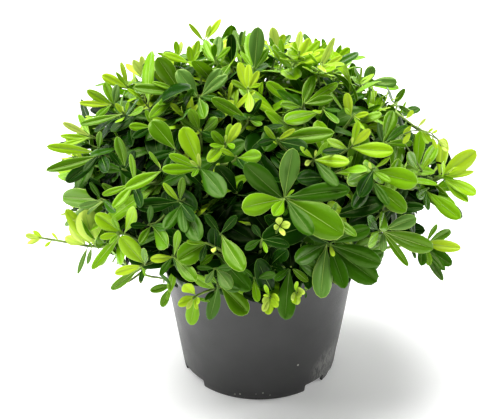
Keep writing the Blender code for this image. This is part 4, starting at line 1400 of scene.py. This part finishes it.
def leaf_tree():
    """Stands a part of the unit leaf on each point and bends it to the leaf that the point describes."""
    tree, given = geometry_tree(
        "leaf_growth", ("Leaf Part", "Object"), ("Stalk Share", "Float", STALK_SHARE),
        ("Outline Skew", "Float", OUTLINE_SKEW), ("Wedge Base", "Float", WEDGE_BASE),
        ("Blunt Tip", "Float", BLUNT_TIP), ("Camber", "Float", CAMBER), ("Edge Roll", "Float", EDGE_ROLL),
        ("Full Leaf", "Float", FULL_LEAF),
    )

    def sum_up(*terms):
        return reduce(lambda total, term: calculate(tree, "ADD", total, term), terms)

    def times(*terms):
        return reduce(lambda total, term: calculate(tree, "MULTIPLY", total, term), terms)

    def named(name, kind):
        node = node_on(tree, "GeometryNodeInputNamedAttribute", {"Name": name}, data_type=kind)
        return node.outputs["Attribute"]

    def apart(name):
        return node_on(tree, "ShaderNodeSeparateXYZ", {"Vector": named(name, "FLOAT_VECTOR")}).outputs

    part = node_on(tree, "GeometryNodeObjectInfo", {"Object": given["Leaf Part"]}).outputs["Geometry"]
    stand = node_on(tree, "GeometryNodeInstanceOnPoints", {"Points": given["Geometry"], "Instance": part})
    whole = made_real(tree, stand.outputs["Instances"])
    root, along, side, face = (named(name, "FLOAT_VECTOR") for name in LEAF_VECTORS)
    sizes = [named(name, "FLOAT") for name in LEAF_SIZES]
    length, half_width, fold, droop, twist, phase, bend, shape = sizes
    across = apart("share")
    edge = apart("edge")
    size = calculate(tree, "DIVIDE", length, given["Full Leaf"])

    blade = calculate(tree, "SUBTRACT", across[0], given["Stalk Share"])
    blade = calculate(tree, "DIVIDE", blade, calculate(tree, "SUBTRACT", 1.0, given["Stalk Share"]))
    blade = calculate(tree, "MINIMUM", calculate(tree, "MAXIMUM", blade, 0.0), 1.0)
    skew = times(shape, given["Outline Skew"])
    arc = times(calculate(tree, "POWER", blade, skew), math.pi)
    arc = calculate(tree, "MAXIMUM", calculate(tree, "SINE", arc), 0.0)
    blunter = calculate(tree, "SUBTRACT", given["Blunt Tip"], given["Wedge Base"])
    power = calculate(tree, "MULTIPLY_ADD", blunter, blade, given["Wedge Base"])
    half = times(half_width, calculate(tree, "POWER", arc, power))
    level = times(across[1], half)
    outer = calculate(tree, "ABSOLUTE", across[1])
    squared = times(across[0], across[0])

    folded = times(fold, calculate(tree, "ABSOLUTE", level))
    cambered = times(given["Camber"], half, calculate(tree, "SINE", times(outer, math.pi)))
    rolled = times(given["Edge Roll"], half, calculate(tree, "POWER", outer, ROLL_POWER), -1.0)
    drooped = times(droop, length, squared, -1.0)
    ripple = sum_up(phase, times(across[0], WAVES_ALONG), times(across[1], WAVES_ACROSS))
    waved = times(calculate(tree, "SINE", ripple), outer, half, WAVE_HEIGHT)
    twisted = times(twist, level, across[0])
    high = sum_up(folded, cambered, rolled, drooped, waved, twisted, times(edge[2], size))
    wide = sum_up(level, times(bend, length, squared), times(edge[1], size))
    far = sum_up(times(length, across[0]), times(edge[0], size))

    placed = root
    for way, amount in ((along, far), (side, wide), (face, high)):
        placed = calculate_vector(tree, "ADD", placed, calculate_vector(tree, "MULTIPLY", way, amount))
    move = node_on(tree, "GeometryNodeSetPosition", {"Geometry": whole, "Position": placed})
    smooth = node_on(tree, "GeometryNodeSetShadeSmooth", {"Geometry": move.outputs["Geometry"]})
    return tree_end(tree, smooth.outputs["Geometry"], given["Finish"])


LEAF_TWIST = 0.55
LEAF_BEND = 0.05
OUTLINE_SPREAD = (0.86, 1.18)
TEST_START = 0.20
TEST_ROWS = ((0.34, 0.42), (0.62, 0.97), (0.90, 0.75))
TEST_FACES = (
    (0, 1, 2), (0, 2, 3), (1, 4, 5, 2), (2, 5, 6, 3), (4, 7, 8, 5), (5, 8, 9, 6), (7, 10, 8), (8, 10, 9),
)


class Leaf:
    """Where one leaf is rooted, the ways it points and faces, and its own shape."""

    def __init__(self, root, along, face, length, half_width, droop, fold, dice):
        self.root = root
        self.leaf_along = along
        self.leaf_side = face.cross(along).normalized()
        self.leaf_face = along.cross(self.leaf_side).normalized()
        self.length = length
        self.half_width = half_width
        self.droop = droop
        self.fold = fold
        self.twist = dice.uniform(-LEAF_TWIST, LEAF_TWIST)
        self.phase = dice.uniform(0.0, math.tau)
        self.bend = dice.uniform(-LEAF_BEND, LEAF_BEND)
        self.shape = dice.uniform(*OUTLINE_SPREAD)

    def spot(self, share, across):
        """A point of the leaf, near enough to test where it lies."""
        return (
            self.root
            + self.leaf_along * self.length * share
            + self.leaf_side * self.half_width * across
            - self.leaf_face * self.droop * self.length * share**2
            + self.leaf_face * self.fold * self.half_width * abs(across)
        )

    def test_shape(self):
        """A coarse copy of the blade, to find out whether it would cut through another leaf."""
        points = [self.spot(TEST_START, 0.0)]
        for share, across in TEST_ROWS:
            points += [self.spot(share, side * across) for side in (-1, 0, 1)]
        points.append(self.spot(1.0, 0.0))
        return BVHTree.FromPolygons(points, TEST_FACES)


LOWEST_LEAF = 0.116
HEM_START = 0.108
HEM_SLOPE = 0.45
POT_CLEARANCE = 0.0015
CELL = 0.026
REACH_SLACK = 0.003
TEST_SHARES = (0.15, 0.35, 0.55, 0.75, 1.0)
TEST_SIDES = (-0.9, 0.0, 0.9)
LEAF_MIDDLE = 0.6
NEAR_CELLS = [(i, j, k) for i in (-1, 0, 1) for j in (-1, 0, 1) for k in (-1, 0, 1)]
grid = {}


def above_hem(point):
    level = math.hypot(point.x, point.y)
    return point.z > LOWEST_LEAF + HEM_SLOPE * max(0.0, level - HEM_START)


def inside_reach(point, slack):
    offset = point - HEART
    return offset.length < reach(offset.normalized()) + slack


def cell_of(point):
    return tuple(int(math.floor(value / CELL)) for value in point)


def free_of_others(leaf, shape):
    x, y, z = cell_of(leaf.spot(LEAF_MIDDLE, 0.0))
    near = (other for i, j, k in NEAR_CELLS for other in grid.get((x + i, y + j, z + k), ()))
    return not any(shape.overlap(other) for other in near)


def place_leaf(leaf, slack, seen=False):
    """Keeps the leaf if it lies inside the crown, clear of the pot, of open sky and of every other leaf."""
    spots = [leaf.spot(share, across) for share in TEST_SHARES for across in TEST_SIDES]
    if any(in_pot(spot, POT_CLEARANCE) for spot in spots):
        return False
    if not seen:
        if not inside_reach(leaf.spot(1.0, 0.0), slack) or not all(above_hem(spot) for spot in spots):
            return False
        if hides_sky(spots):
            return False
    shape = leaf.test_shape()
    if not free_of_others(leaf, shape):
        return False
    grid.setdefault(cell_of(leaf.spot(LEAF_MIDDLE, 0.0)), []).append(shape)
    return True


ROSETTE_STEP = 0.0021
FLUSH_STEP = 0.0040
STEM_LEAVES = 1
STEM_SHADE = 1.5
STEM_LEAF_STEP = 0.0080
LENGTH_SPREAD = (0.88, 1.10)
LIGHT_TURN = 0.25
TONE_ORDER = tuple(tone for tone in LEAF_TONES if tone != "grey")
MATURE_AGES = (1.0, 1.0, 1.0, 0.95, 0.85, 0.70, 0.45, 0.15, 0.0)
FLUSH_AGES = (0.95, 0.85, 0.75, 0.66, 0.58, 0.48, 0.36, 0.22, 0.10, 0.0)
TONE_SWAY = 0.9
YOUNG_AGE = 0.4
YOUNG_TONE = (5.6, 3.0)
TIP_AGE = 0.3
TIP_BRIGHTER = 1.6


def tone_of(shoot, age, shade):
    """Deep green inside as painted shade, and on old leaves; brighter towards the light as painted light,
    and at the shoot's tip.
    """
    level = shoot.tone - shade + shoot.dice.uniform(-TONE_SWAY, TONE_SWAY)
    if age < YOUNG_AGE and shoot.flush:
        level = max(level, YOUNG_TONE[0] + YOUNG_TONE[1] * (YOUNG_AGE - age))
    elif age < TIP_AGE:
        level += TIP_BRIGHTER
    return TONE_ORDER[max(0, min(len(TONE_ORDER) - 1, round(level)))]


# Round places again, in full sun: generic leaves seen there get brighter tones, a painted light.
SUNLIT = (
    (407, 119, 14), (416, 131, 13), (430, 142, 11), (385, 100, 12), (360, 88, 9), (89, 222, 11),
    (97, 209, 8), (120, 217, 8), (119, 251, 8), (284, 61, 11), (204, 72, 8), (442, 191, 10), (346, 90, 8),
    (259, 97, 7), (350, 60, 9), (148, 90, 8), (95, 104, 8), (70, 174, 7), (174, 281, 8), (378, 88, 10),
    (322, 71, 10), (271, 67, 7), (234, 59, 8), (211, 66, 7), (160, 64, 8), (203, 80, 7), (266, 110, 8),
    (273, 142, 6), (318, 278, 7), (203, 288, 9), (308, 282, 11), (78, 221, 9), (394, 262, 8),
    (99, 241, 8), (158, 161, 8), (345, 72, 8), (250, 287, 7), (201, 61, 8),
    (300, 66, 10), (312, 78, 8), (338, 76, 9), (285, 72, 8), (366, 122, 8), (290, 86, 7), (122, 100, 7),
    (414, 170, 6), (425, 186, 6), (334, 99, 6), (129, 205, 6), (207, 75, 6), (340, 84, 6), (436, 186, 7),
    (290, 99, 5), (302, 90, 5), (281, 127, 4), (350, 94, 7),
)
SEEN_MIDDLE = 0.55
SUNLIT_TONES = {"deep": "fresh", "dark": "fresh", "sombre": "fresh", "middle": "bright", "fresh": "bright"}


# Painted shade and painted light: darker tones in the hollows, brighter ones in the sunlit places.
def painted_light_tone(leaf, tone):
    """The tone, deeper or brighter where the photograph shows the crown in deep shade or full sun."""
    middle = leaf.spot(SEEN_MIDDLE, 0.0)
    if (middle - HEART).dot(towards_camera) < 0:
        return tone
    if seen_in(HOLLOWS, middle):
        return "deep" if tone in ("deep", "dark") else "dark"
    if seen_in(SUNLIT, middle):
        return SUNLIT_TONES.get(tone, tone)
    return tone


FACE_AXIS = Vector((0.3, 0.2, 0.93))
FACE_SWAY = 0.3


def push_aside(along, chance):
    """A small push across a leaf, so that no two leaves of a rosette face quite the same way."""
    return along.cross(FACE_AXIS) * chance.uniform(-FACE_SWAY, FACE_SWAY)


# A value by age is what a leaf has at age 0, the youngest, and what it gains up to age 1, the oldest.
LEAF_TURN_SWAY = 0.2
LENGTH_BY_AGE = (0.17, 0.83)
LENGTH_POWER = 0.8
YOUNGEST_LEAN = 16.0
OLDEST_LEAN = 80.0
LEAN_POWER = 0.9
LEAN_SWAY = 11
FLUSH_LEAN = 0.84
WIDTH_SPREAD = (0.88, 1.12)
WIDTH_BY_AGE = (0.80, 0.20)
FLUSH_WIDTH = 0.78
DROOP_SPREAD = (-0.06, 0.30)
DROOP_BY_AGE = (0.3, 0.7)
FOLD_SPREAD = (0.10, 0.42)
YOUNG_FOLD = 0.3
LEAN_AND_SHIFT = ((1.0, 0.0), (0.95, 0.35), (0.88, -0.35), (0.76, 0.2), (0.62, -0.2), (0.48, 0.0))


def dress(shoot, leaves):
    """The leaves round the end of a shoot, from the oldest to the youngest, and one down its stem."""
    crosswise = shoot.axis.orthogonal().normalized()
    step = FLUSH_STEP if shoot.flush else ROSETTE_STEP
    ages = (1.0,) * STEM_LEAVES + (FLUSH_AGES if shoot.flush else MATURE_AGES)
    for number, age in enumerate(ages):
        turn = shoot.roll + number * GOLDEN_ANGLE + shoot.dice.uniform(-LEAF_TURN_SWAY, LEAF_TURN_SWAY)
        share = LENGTH_BY_AGE[0] + LENGTH_BY_AGE[1] * age**LENGTH_POWER
        length = LEAF_LENGTH * share * shoot.dice.uniform(*LENGTH_SPREAD) * shoot.size
        spread = YOUNGEST_LEAN + (OLDEST_LEAN - YOUNGEST_LEAN) * age**LEAN_POWER
        spread += shoot.dice.uniform(-LEAN_SWAY, LEAN_SWAY)
        below = step * (len(ages) - 1 - number)
        if number < STEM_LEAVES:
            below += STEM_LEAF_STEP * (STEM_LEAVES - number)
        if shoot.flush:
            spread *= FLUSH_LEAN
        root = shoot.tip - shoot.axis * below
        half = length * LEAF_HALF_WIDTH * shoot.dice.uniform(*WIDTH_SPREAD)
        half *= (FLUSH_WIDTH if shoot.flush else 1.0) * (WIDTH_BY_AGE[0] + WIDTH_BY_AGE[1] * age)
        droop = shoot.dice.uniform(*DROOP_SPREAD) * (DROOP_BY_AGE[0] + DROOP_BY_AGE[1] * age)
        fold = shoot.dice.uniform(*FOLD_SPREAD) + YOUNG_FOLD * (1 - age)
        for tuck, shift in LEAN_AND_SHIFT:
            away = Matrix.Rotation(turn + shift, 3, shoot.axis) @ crosswise
            lean = math.radians(spread) * tuck
            along = shoot.axis * math.cos(lean) + away * math.sin(lean)
            face = shoot.axis * math.sin(lean) - away * math.cos(lean)
            face += Vector((0.0, 0.0, LIGHT_TURN)) + push_aside(along, shoot.dice)
            leaf = Leaf(root, along, face, length, half, droop, fold, shoot.dice)
            if place_leaf(leaf, shoot.slack):
                # Painted shade: the leaf down the stem gets a darker tone.
                shade = STEM_SHADE if number < STEM_LEAVES else 0.0
                leaves[painted_light_tone(leaf, tone_of(shoot, age, shade))].append(leaf)
                break


LONGEST_LEAF = 0.060
LIFTS = (0.0, 0.004, -0.004, 0.008, -0.008, 0.012, -0.012, 0.016, -0.016, 0.020, 0.026)
SPRAY_STEP = 0.0012
FACE_OUT = 0.5
FACE_CAMERA = 0.75
SEEN_SWAY = 1.2
SEEN_WIDTH = 1.06
WIDTH_OF_LENGTH = 0.4
WIDTH_OF_LOOK = 0.6
YOUNG_WIDER = 1.15
SEEN_DROOP = (0.02, 0.14)
SEEN_FOLD = (0.12, 0.55)
SEEN_TWIST = 0.6


def across_sight(reached, place):
    """How long a leaf looks from the camera."""
    sight = (place - CAMERA_PLACE).normalized()
    return min((reached - sight * reached.dot(sight)).length, LONGEST_LEAF)


def dress_as_seen(shoot, leaves):
    """The leaves that the photograph shows on a spray, each from the shoot's end to its tip's pixel."""
    spray = shoot.spray
    for number, (tone, x, y, wide) in enumerate(spray.leaves):
        root = shoot.tip - shoot.axis * SPRAY_STEP * (len(spray.leaves) - number)
        for lift in LIFTS:
            end = seen_point(x, y, spray.depth + SPRAY_TIP_SINK - lift, root)
            reached = end - root
            length = min(reached.length, LONGEST_LEAF)
            along = reached.normalized()
            middle = root + along * length / 2
            face = (middle - HEART).normalized() * FACE_OUT
            face += (CAMERA_PLACE - middle).normalized() * FACE_CAMERA
            face += push_aside(along, shoot.dice) * SEEN_SWAY
            half = WIDTH_OF_LENGTH * length + WIDTH_OF_LOOK * across_sight(reached, end)
            half = half * LEAF_HALF_WIDTH * wide * SEEN_WIDTH
            if tone == "young":
                half *= YOUNG_WIDER
            droop = shoot.dice.uniform(*SEEN_DROOP)
            fold = shoot.dice.uniform(*SEEN_FOLD)
            leaf = Leaf(root, along, face, length, half, -droop, fold, shoot.dice)
            leaf.twist *= SEEN_TWIST
            if place_leaf(leaf, LOOSE_SLACK, seen=True):
                leaves[tone].append(leaf)
                break


ARCH_SEED = 5
ARCH_STEPS = 8
ARCH_SWAY = 0.006
ARCH_FACE = Vector((0.1, -0.7, 0.7))
ARCH_LEAF_WIDTH = 0.22
ARCH_DROOP = -0.05
ARCH_FOLD = 0.1
ARCH_TWIST = 0.3


def dress_arch(arch, leaves):
    """The young leaves along a stem that leans out, each from the stem to its tip's pixel."""
    chance = random.Random(ARCH_SEED)
    pairs = zip(arch.line, arch.line[1:])
    places = [a.lerp(b, step / ARCH_STEPS) for a, b in pairs for step in range(ARCH_STEPS + 1)]
    for tone, x, y, tip_x, tip_y, wide in arch.leaves:
        sight = sight_through(x, y)
        root = min(places, key=lambda point: (point - CAMERA_PLACE).angle(sight))
        end = stem_point(tip_x, tip_y, root.y + chance.uniform(-ARCH_SWAY, ARCH_SWAY))
        along = (end - root).normalized()
        length = (end - root).length
        half = length * ARCH_LEAF_WIDTH * wide
        face = ARCH_FACE + push_aside(along, chance)
        leaf = Leaf(root, along, face, length, half, ARCH_DROOP, ARCH_FOLD, chance)
        leaf.twist *= ARCH_TWIST
        leaves[tone].append(leaf)


# A chance or a tone with two numbers is its value at the crown's waist and what the top adds.
# What the top adds to a tone is painted light. The low tones of inner and under shoots, and the darkening of
# deeper shoots, are painted shade.
FLUSH_CHANCE = (0.22, 0.30)
SIZE_SPREAD = (0.84, 1.10)
OUTLINE_RAGGED = (-0.008, 0.007)
LOOSE_SLACK = 0.05
MATURE_TONE = (2.7, 1.0)
MATURE_SWAY = 1.2
FLUSH_TONE = (4.6, 0.8)
FLUSH_SWAY = 0.7
# Painted shade: inner shoots get the deepest tone.
INNER_PAINTED_SHADE_TONE = 0.3
# Painted shade: under shoots get dark tones.
UNDER_PAINTED_SHADE_TONE = (0.5, 1.2)
UNDER_SWAY = 0.6
LONG_TONE = 5.4
LONG_SIZE = 0.72
DEPTH_SHADE = 95.0
SHADE_START = 0.005

leaves = {tone: [] for tone in LEAF_TONES}
for shoot in fine_shoots:
    high = (shoot.tip - HEART).normalized().z
    shoot.roll = shoot.dice.uniform(0.0, math.tau)
    shoot.flush = shoot.dice.random() < FLUSH_CHANCE[0] + FLUSH_CHANCE[1] * max(0.0, high)
    shoot.size = shoot.dice.uniform(*SIZE_SPREAD)
    shoot.slack = REACH_SLACK + shoot.dice.uniform(*OUTLINE_RAGGED)
    shoot.tone = MATURE_TONE[0] + MATURE_TONE[1] * high + shoot.dice.uniform(-MATURE_SWAY, MATURE_SWAY)
    if shoot.flush:
        shoot.tone = FLUSH_TONE[0] + FLUSH_TONE[1] * high + shoot.dice.uniform(-FLUSH_SWAY, FLUSH_SWAY)
    if shoot.kind == "inner":
        shoot.flush = False
        shoot.tone = INNER_PAINTED_SHADE_TONE
    elif shoot.kind == "under":
        shoot.flush = False
        shoot.tone = UNDER_PAINTED_SHADE_TONE[0] + UNDER_PAINTED_SHADE_TONE[1] * max(0.0, high)
        shoot.tone += shoot.dice.uniform(-UNDER_SWAY, UNDER_SWAY)
    elif shoot.kind == "long":
        shoot.flush = True
        shoot.tone = LONG_TONE
        shoot.size = LONG_SIZE
        shoot.slack = LOOSE_SLACK
    else:
        # Painted shade: deeper shoots get darker tones.
        shoot.tone -= DEPTH_SHADE * max(0.0, shoot.depth - SHOOT_DEPTH - SHADE_START)
fine_shoots.sort(key=lambda shoot: shoot.depth)
for arch in arches:
    dress_arch(arch, leaves)
for shoot in fine_shoots:
    if shoot.kind == "seen":
        dress_as_seen(shoot, leaves)
    else:
        dress(shoot, leaves)

leaf_growth = leaf_tree()


def leaf_points(name, kind):
    """Loose points, one for each leaf, with what the leaf tree needs to know."""
    mesh = bpy.data.meshes.new(name)
    mesh.from_pydata([leaf.root for leaf in kind], [], [])
    for attribute in LEAF_VECTORS:
        values = mesh.attributes.new(attribute, "FLOAT_VECTOR", "POINT")
        values.data.foreach_set("vector", [v for leaf in kind for v in getattr(leaf, attribute)])
    for attribute in LEAF_SIZES:
        values = mesh.attributes.new(attribute, "FLOAT", "POINT")
        values.data.foreach_set("value", [getattr(leaf, attribute) for leaf in kind])
    return set_up(name, mesh)


def grown(name, kind, part, finish):
    """The chosen part of every leaf of a kind, as one plain mesh."""
    made = grown_on(leaf_points(name, kind), leaf_growth, {"Leaf Part": part, "Finish": finish})
    for attribute in (*LEAF_VECTORS, *LEAF_SIZES, "share", "edge"):
        made.data.attributes.remove(made.data.attributes[attribute])
    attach(made, "root")
    return made


LEAF_GRAIN = 520
GRAIN_DEPTH = 0.0005
GRAIN_STRENGTH = 0.5


def leaf_material(name, colour, gloss):
    """A leathery leaf of one green, with a soft gloss and a faint grain that runs with no direction."""
    made, tree, shader, place = finish_material(name, colour, LEAF_ROUGHNESS)
    shader.inputs["Specular IOR Level"].default_value = gloss
    shader.inputs["Specular Tint"].default_value = LEAF_SHEEN
    bump_on(tree, shader, noise_on(tree, place, LEAF_GRAIN), GRAIN_DEPTH, GRAIN_STRENGTH)
    return made


parts = {"blade": blade_part(), "rim": rim_part(), "rib": rib_part()}
foliage_nodes = [f"foliage_{mass.name}" for mass in masses]
for tone, colour in LEAF_TONES.items():
    if leaves[tone]:
        finish = leaf_material(f"leaf_{tone}", colour, LEAF_GLOSS.get(tone, SUNNY_GLOSS))
        blades = grown(f"leaf_blades_{tone}", leaves[tone], parts["blade"], finish)
        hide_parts(*foliage_nodes)
# Painted shade: the deep leaves' ribs in near-black.
shade_painted_rib = leaf_material("leaf_rib_inner", SHADE_PAINTED_RIB, INNER_GLOSS)
grown("leaf_ribs_inner", leaves["deep"], parts["rib"], shade_painted_rib)
shaded = [leaf for tone in SHADED_TONES if tone != "deep" for leaf in leaves[tone]]
sunny = [leaf for tone, kind in leaves.items() if tone not in SHADED_TONES for leaf in kind]
edges = (("shaded", shaded, SHADED_RIM, SHADED_RIB), ("sunny", sunny, SUNNY_RIM, SUNNY_RIB))
for light, kind, rim, rib in edges:
    grown(f"leaf_rims_{light}", kind, parts["rim"], leaf_material(f"leaf_rim_{light}", rim, EDGE_GLOSS))
    grown(f"leaf_ribs_{light}", kind, parts["rib"], leaf_material(f"leaf_rib_{light}", rib, EDGE_GLOSS))
for part in parts.values():
    bpy.data.objects.remove(part, do_unlink=True)


# Studio
# A pale floor under a white sky. One very large soft light stands almost overhead, with weaker ones at
# both sides and behind. The camera stands in front and looks down on the plant, as the photographer did.

FLOOR_PALE = (0.90, 0.90, 0.90, 1.0)
FLOOR_HALF = 6.0
FLOOR_ROUGHNESS = 0.9
FLOOR_GLOW = 0.24
SKY_WHITE = (1.0, 1.0, 1.0, 1.0)
SKY_STRENGTH = 0.06
SUN_POWER = 6.2
SUN_SPREAD = 60
SUN_TURN = (-9, -15)
# Each lamp's place, what it points at, its size and its power.
SOFT_LAMPS = (
    ("left_lamp", (-1.6, 0.1, 0.6), (0.0, 0.0, 0.12), (0.7, 0.9), 11.0),
    ("right_lamp", (1.6, 0.3, 0.6), (0.0, 0.0, 0.12), (0.7, 0.9), 14.0),
    ("back_lamp", (-0.3, 1.7, 1.1), (0.0, 0.0, 0.20), (2.4, 0.9), 18.0),
)
SENSOR_WIDTH = 36.0

bm = bmesh.new()
bmesh.ops.create_grid(bm, x_segments=1, y_segments=1, size=FLOOR_HALF)
floor = object_from(bm, "studio_floor")
floor_paint, tree, shader, place = finish_material("studio_floor", FLOOR_PALE, FLOOR_ROUGHNESS)
shader.inputs["Emission Color"].default_value = FLOOR_PALE
shader.inputs["Emission Strength"].default_value = FLOOR_GLOW
floor.data.materials.append(floor_paint)
floor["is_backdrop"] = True

world = bpy.data.worlds.new("studio")
world.use_nodes = True
sky = world.node_tree.nodes["Background"]
sky.inputs["Color"].default_value = SKY_WHITE
sky.inputs["Strength"].default_value = SKY_STRENGTH
bpy.context.scene.world = world


def soft_lamp(name, place, target, size, power):
    lamp = bpy.data.lights.new(name, "AREA")
    lamp.shape = "RECTANGLE"
    lamp.size, lamp.size_y = size
    lamp.energy = power
    holder = set_up(name, lamp)
    holder.location = place
    holder.rotation_euler = (Vector(target) - Vector(place)).to_track_quat("-Z", "Y").to_euler()


sun = bpy.data.lights.new("sky_lamp", "SUN")
sun.energy = SUN_POWER
sun.angle = math.radians(SUN_SPREAD)
set_up("sky_lamp", sun).rotation_euler = (math.radians(SUN_TURN[0]), math.radians(SUN_TURN[1]), 0.0)
for lamp in SOFT_LAMPS:
    soft_lamp(*lamp)

lens = bpy.data.cameras.new("camera")
lens.sensor_width = SENSOR_WIDTH
lens.lens = FOCAL_PIXELS / PICTURE_WIDTH * SENSOR_WIDTH
lens.shift_x = MIDDLE_SHIFT / PICTURE_WIDTH
camera = set_up("camera", lens)
camera.location = CAMERA_PLACE
camera.rotation_euler = (math.radians(90 - CAMERA_DIP), 0.0, 0.0)
bpy.context.scene.camera = camera
bpy.context.scene.view_settings.view_transform = "Standard"

low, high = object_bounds()
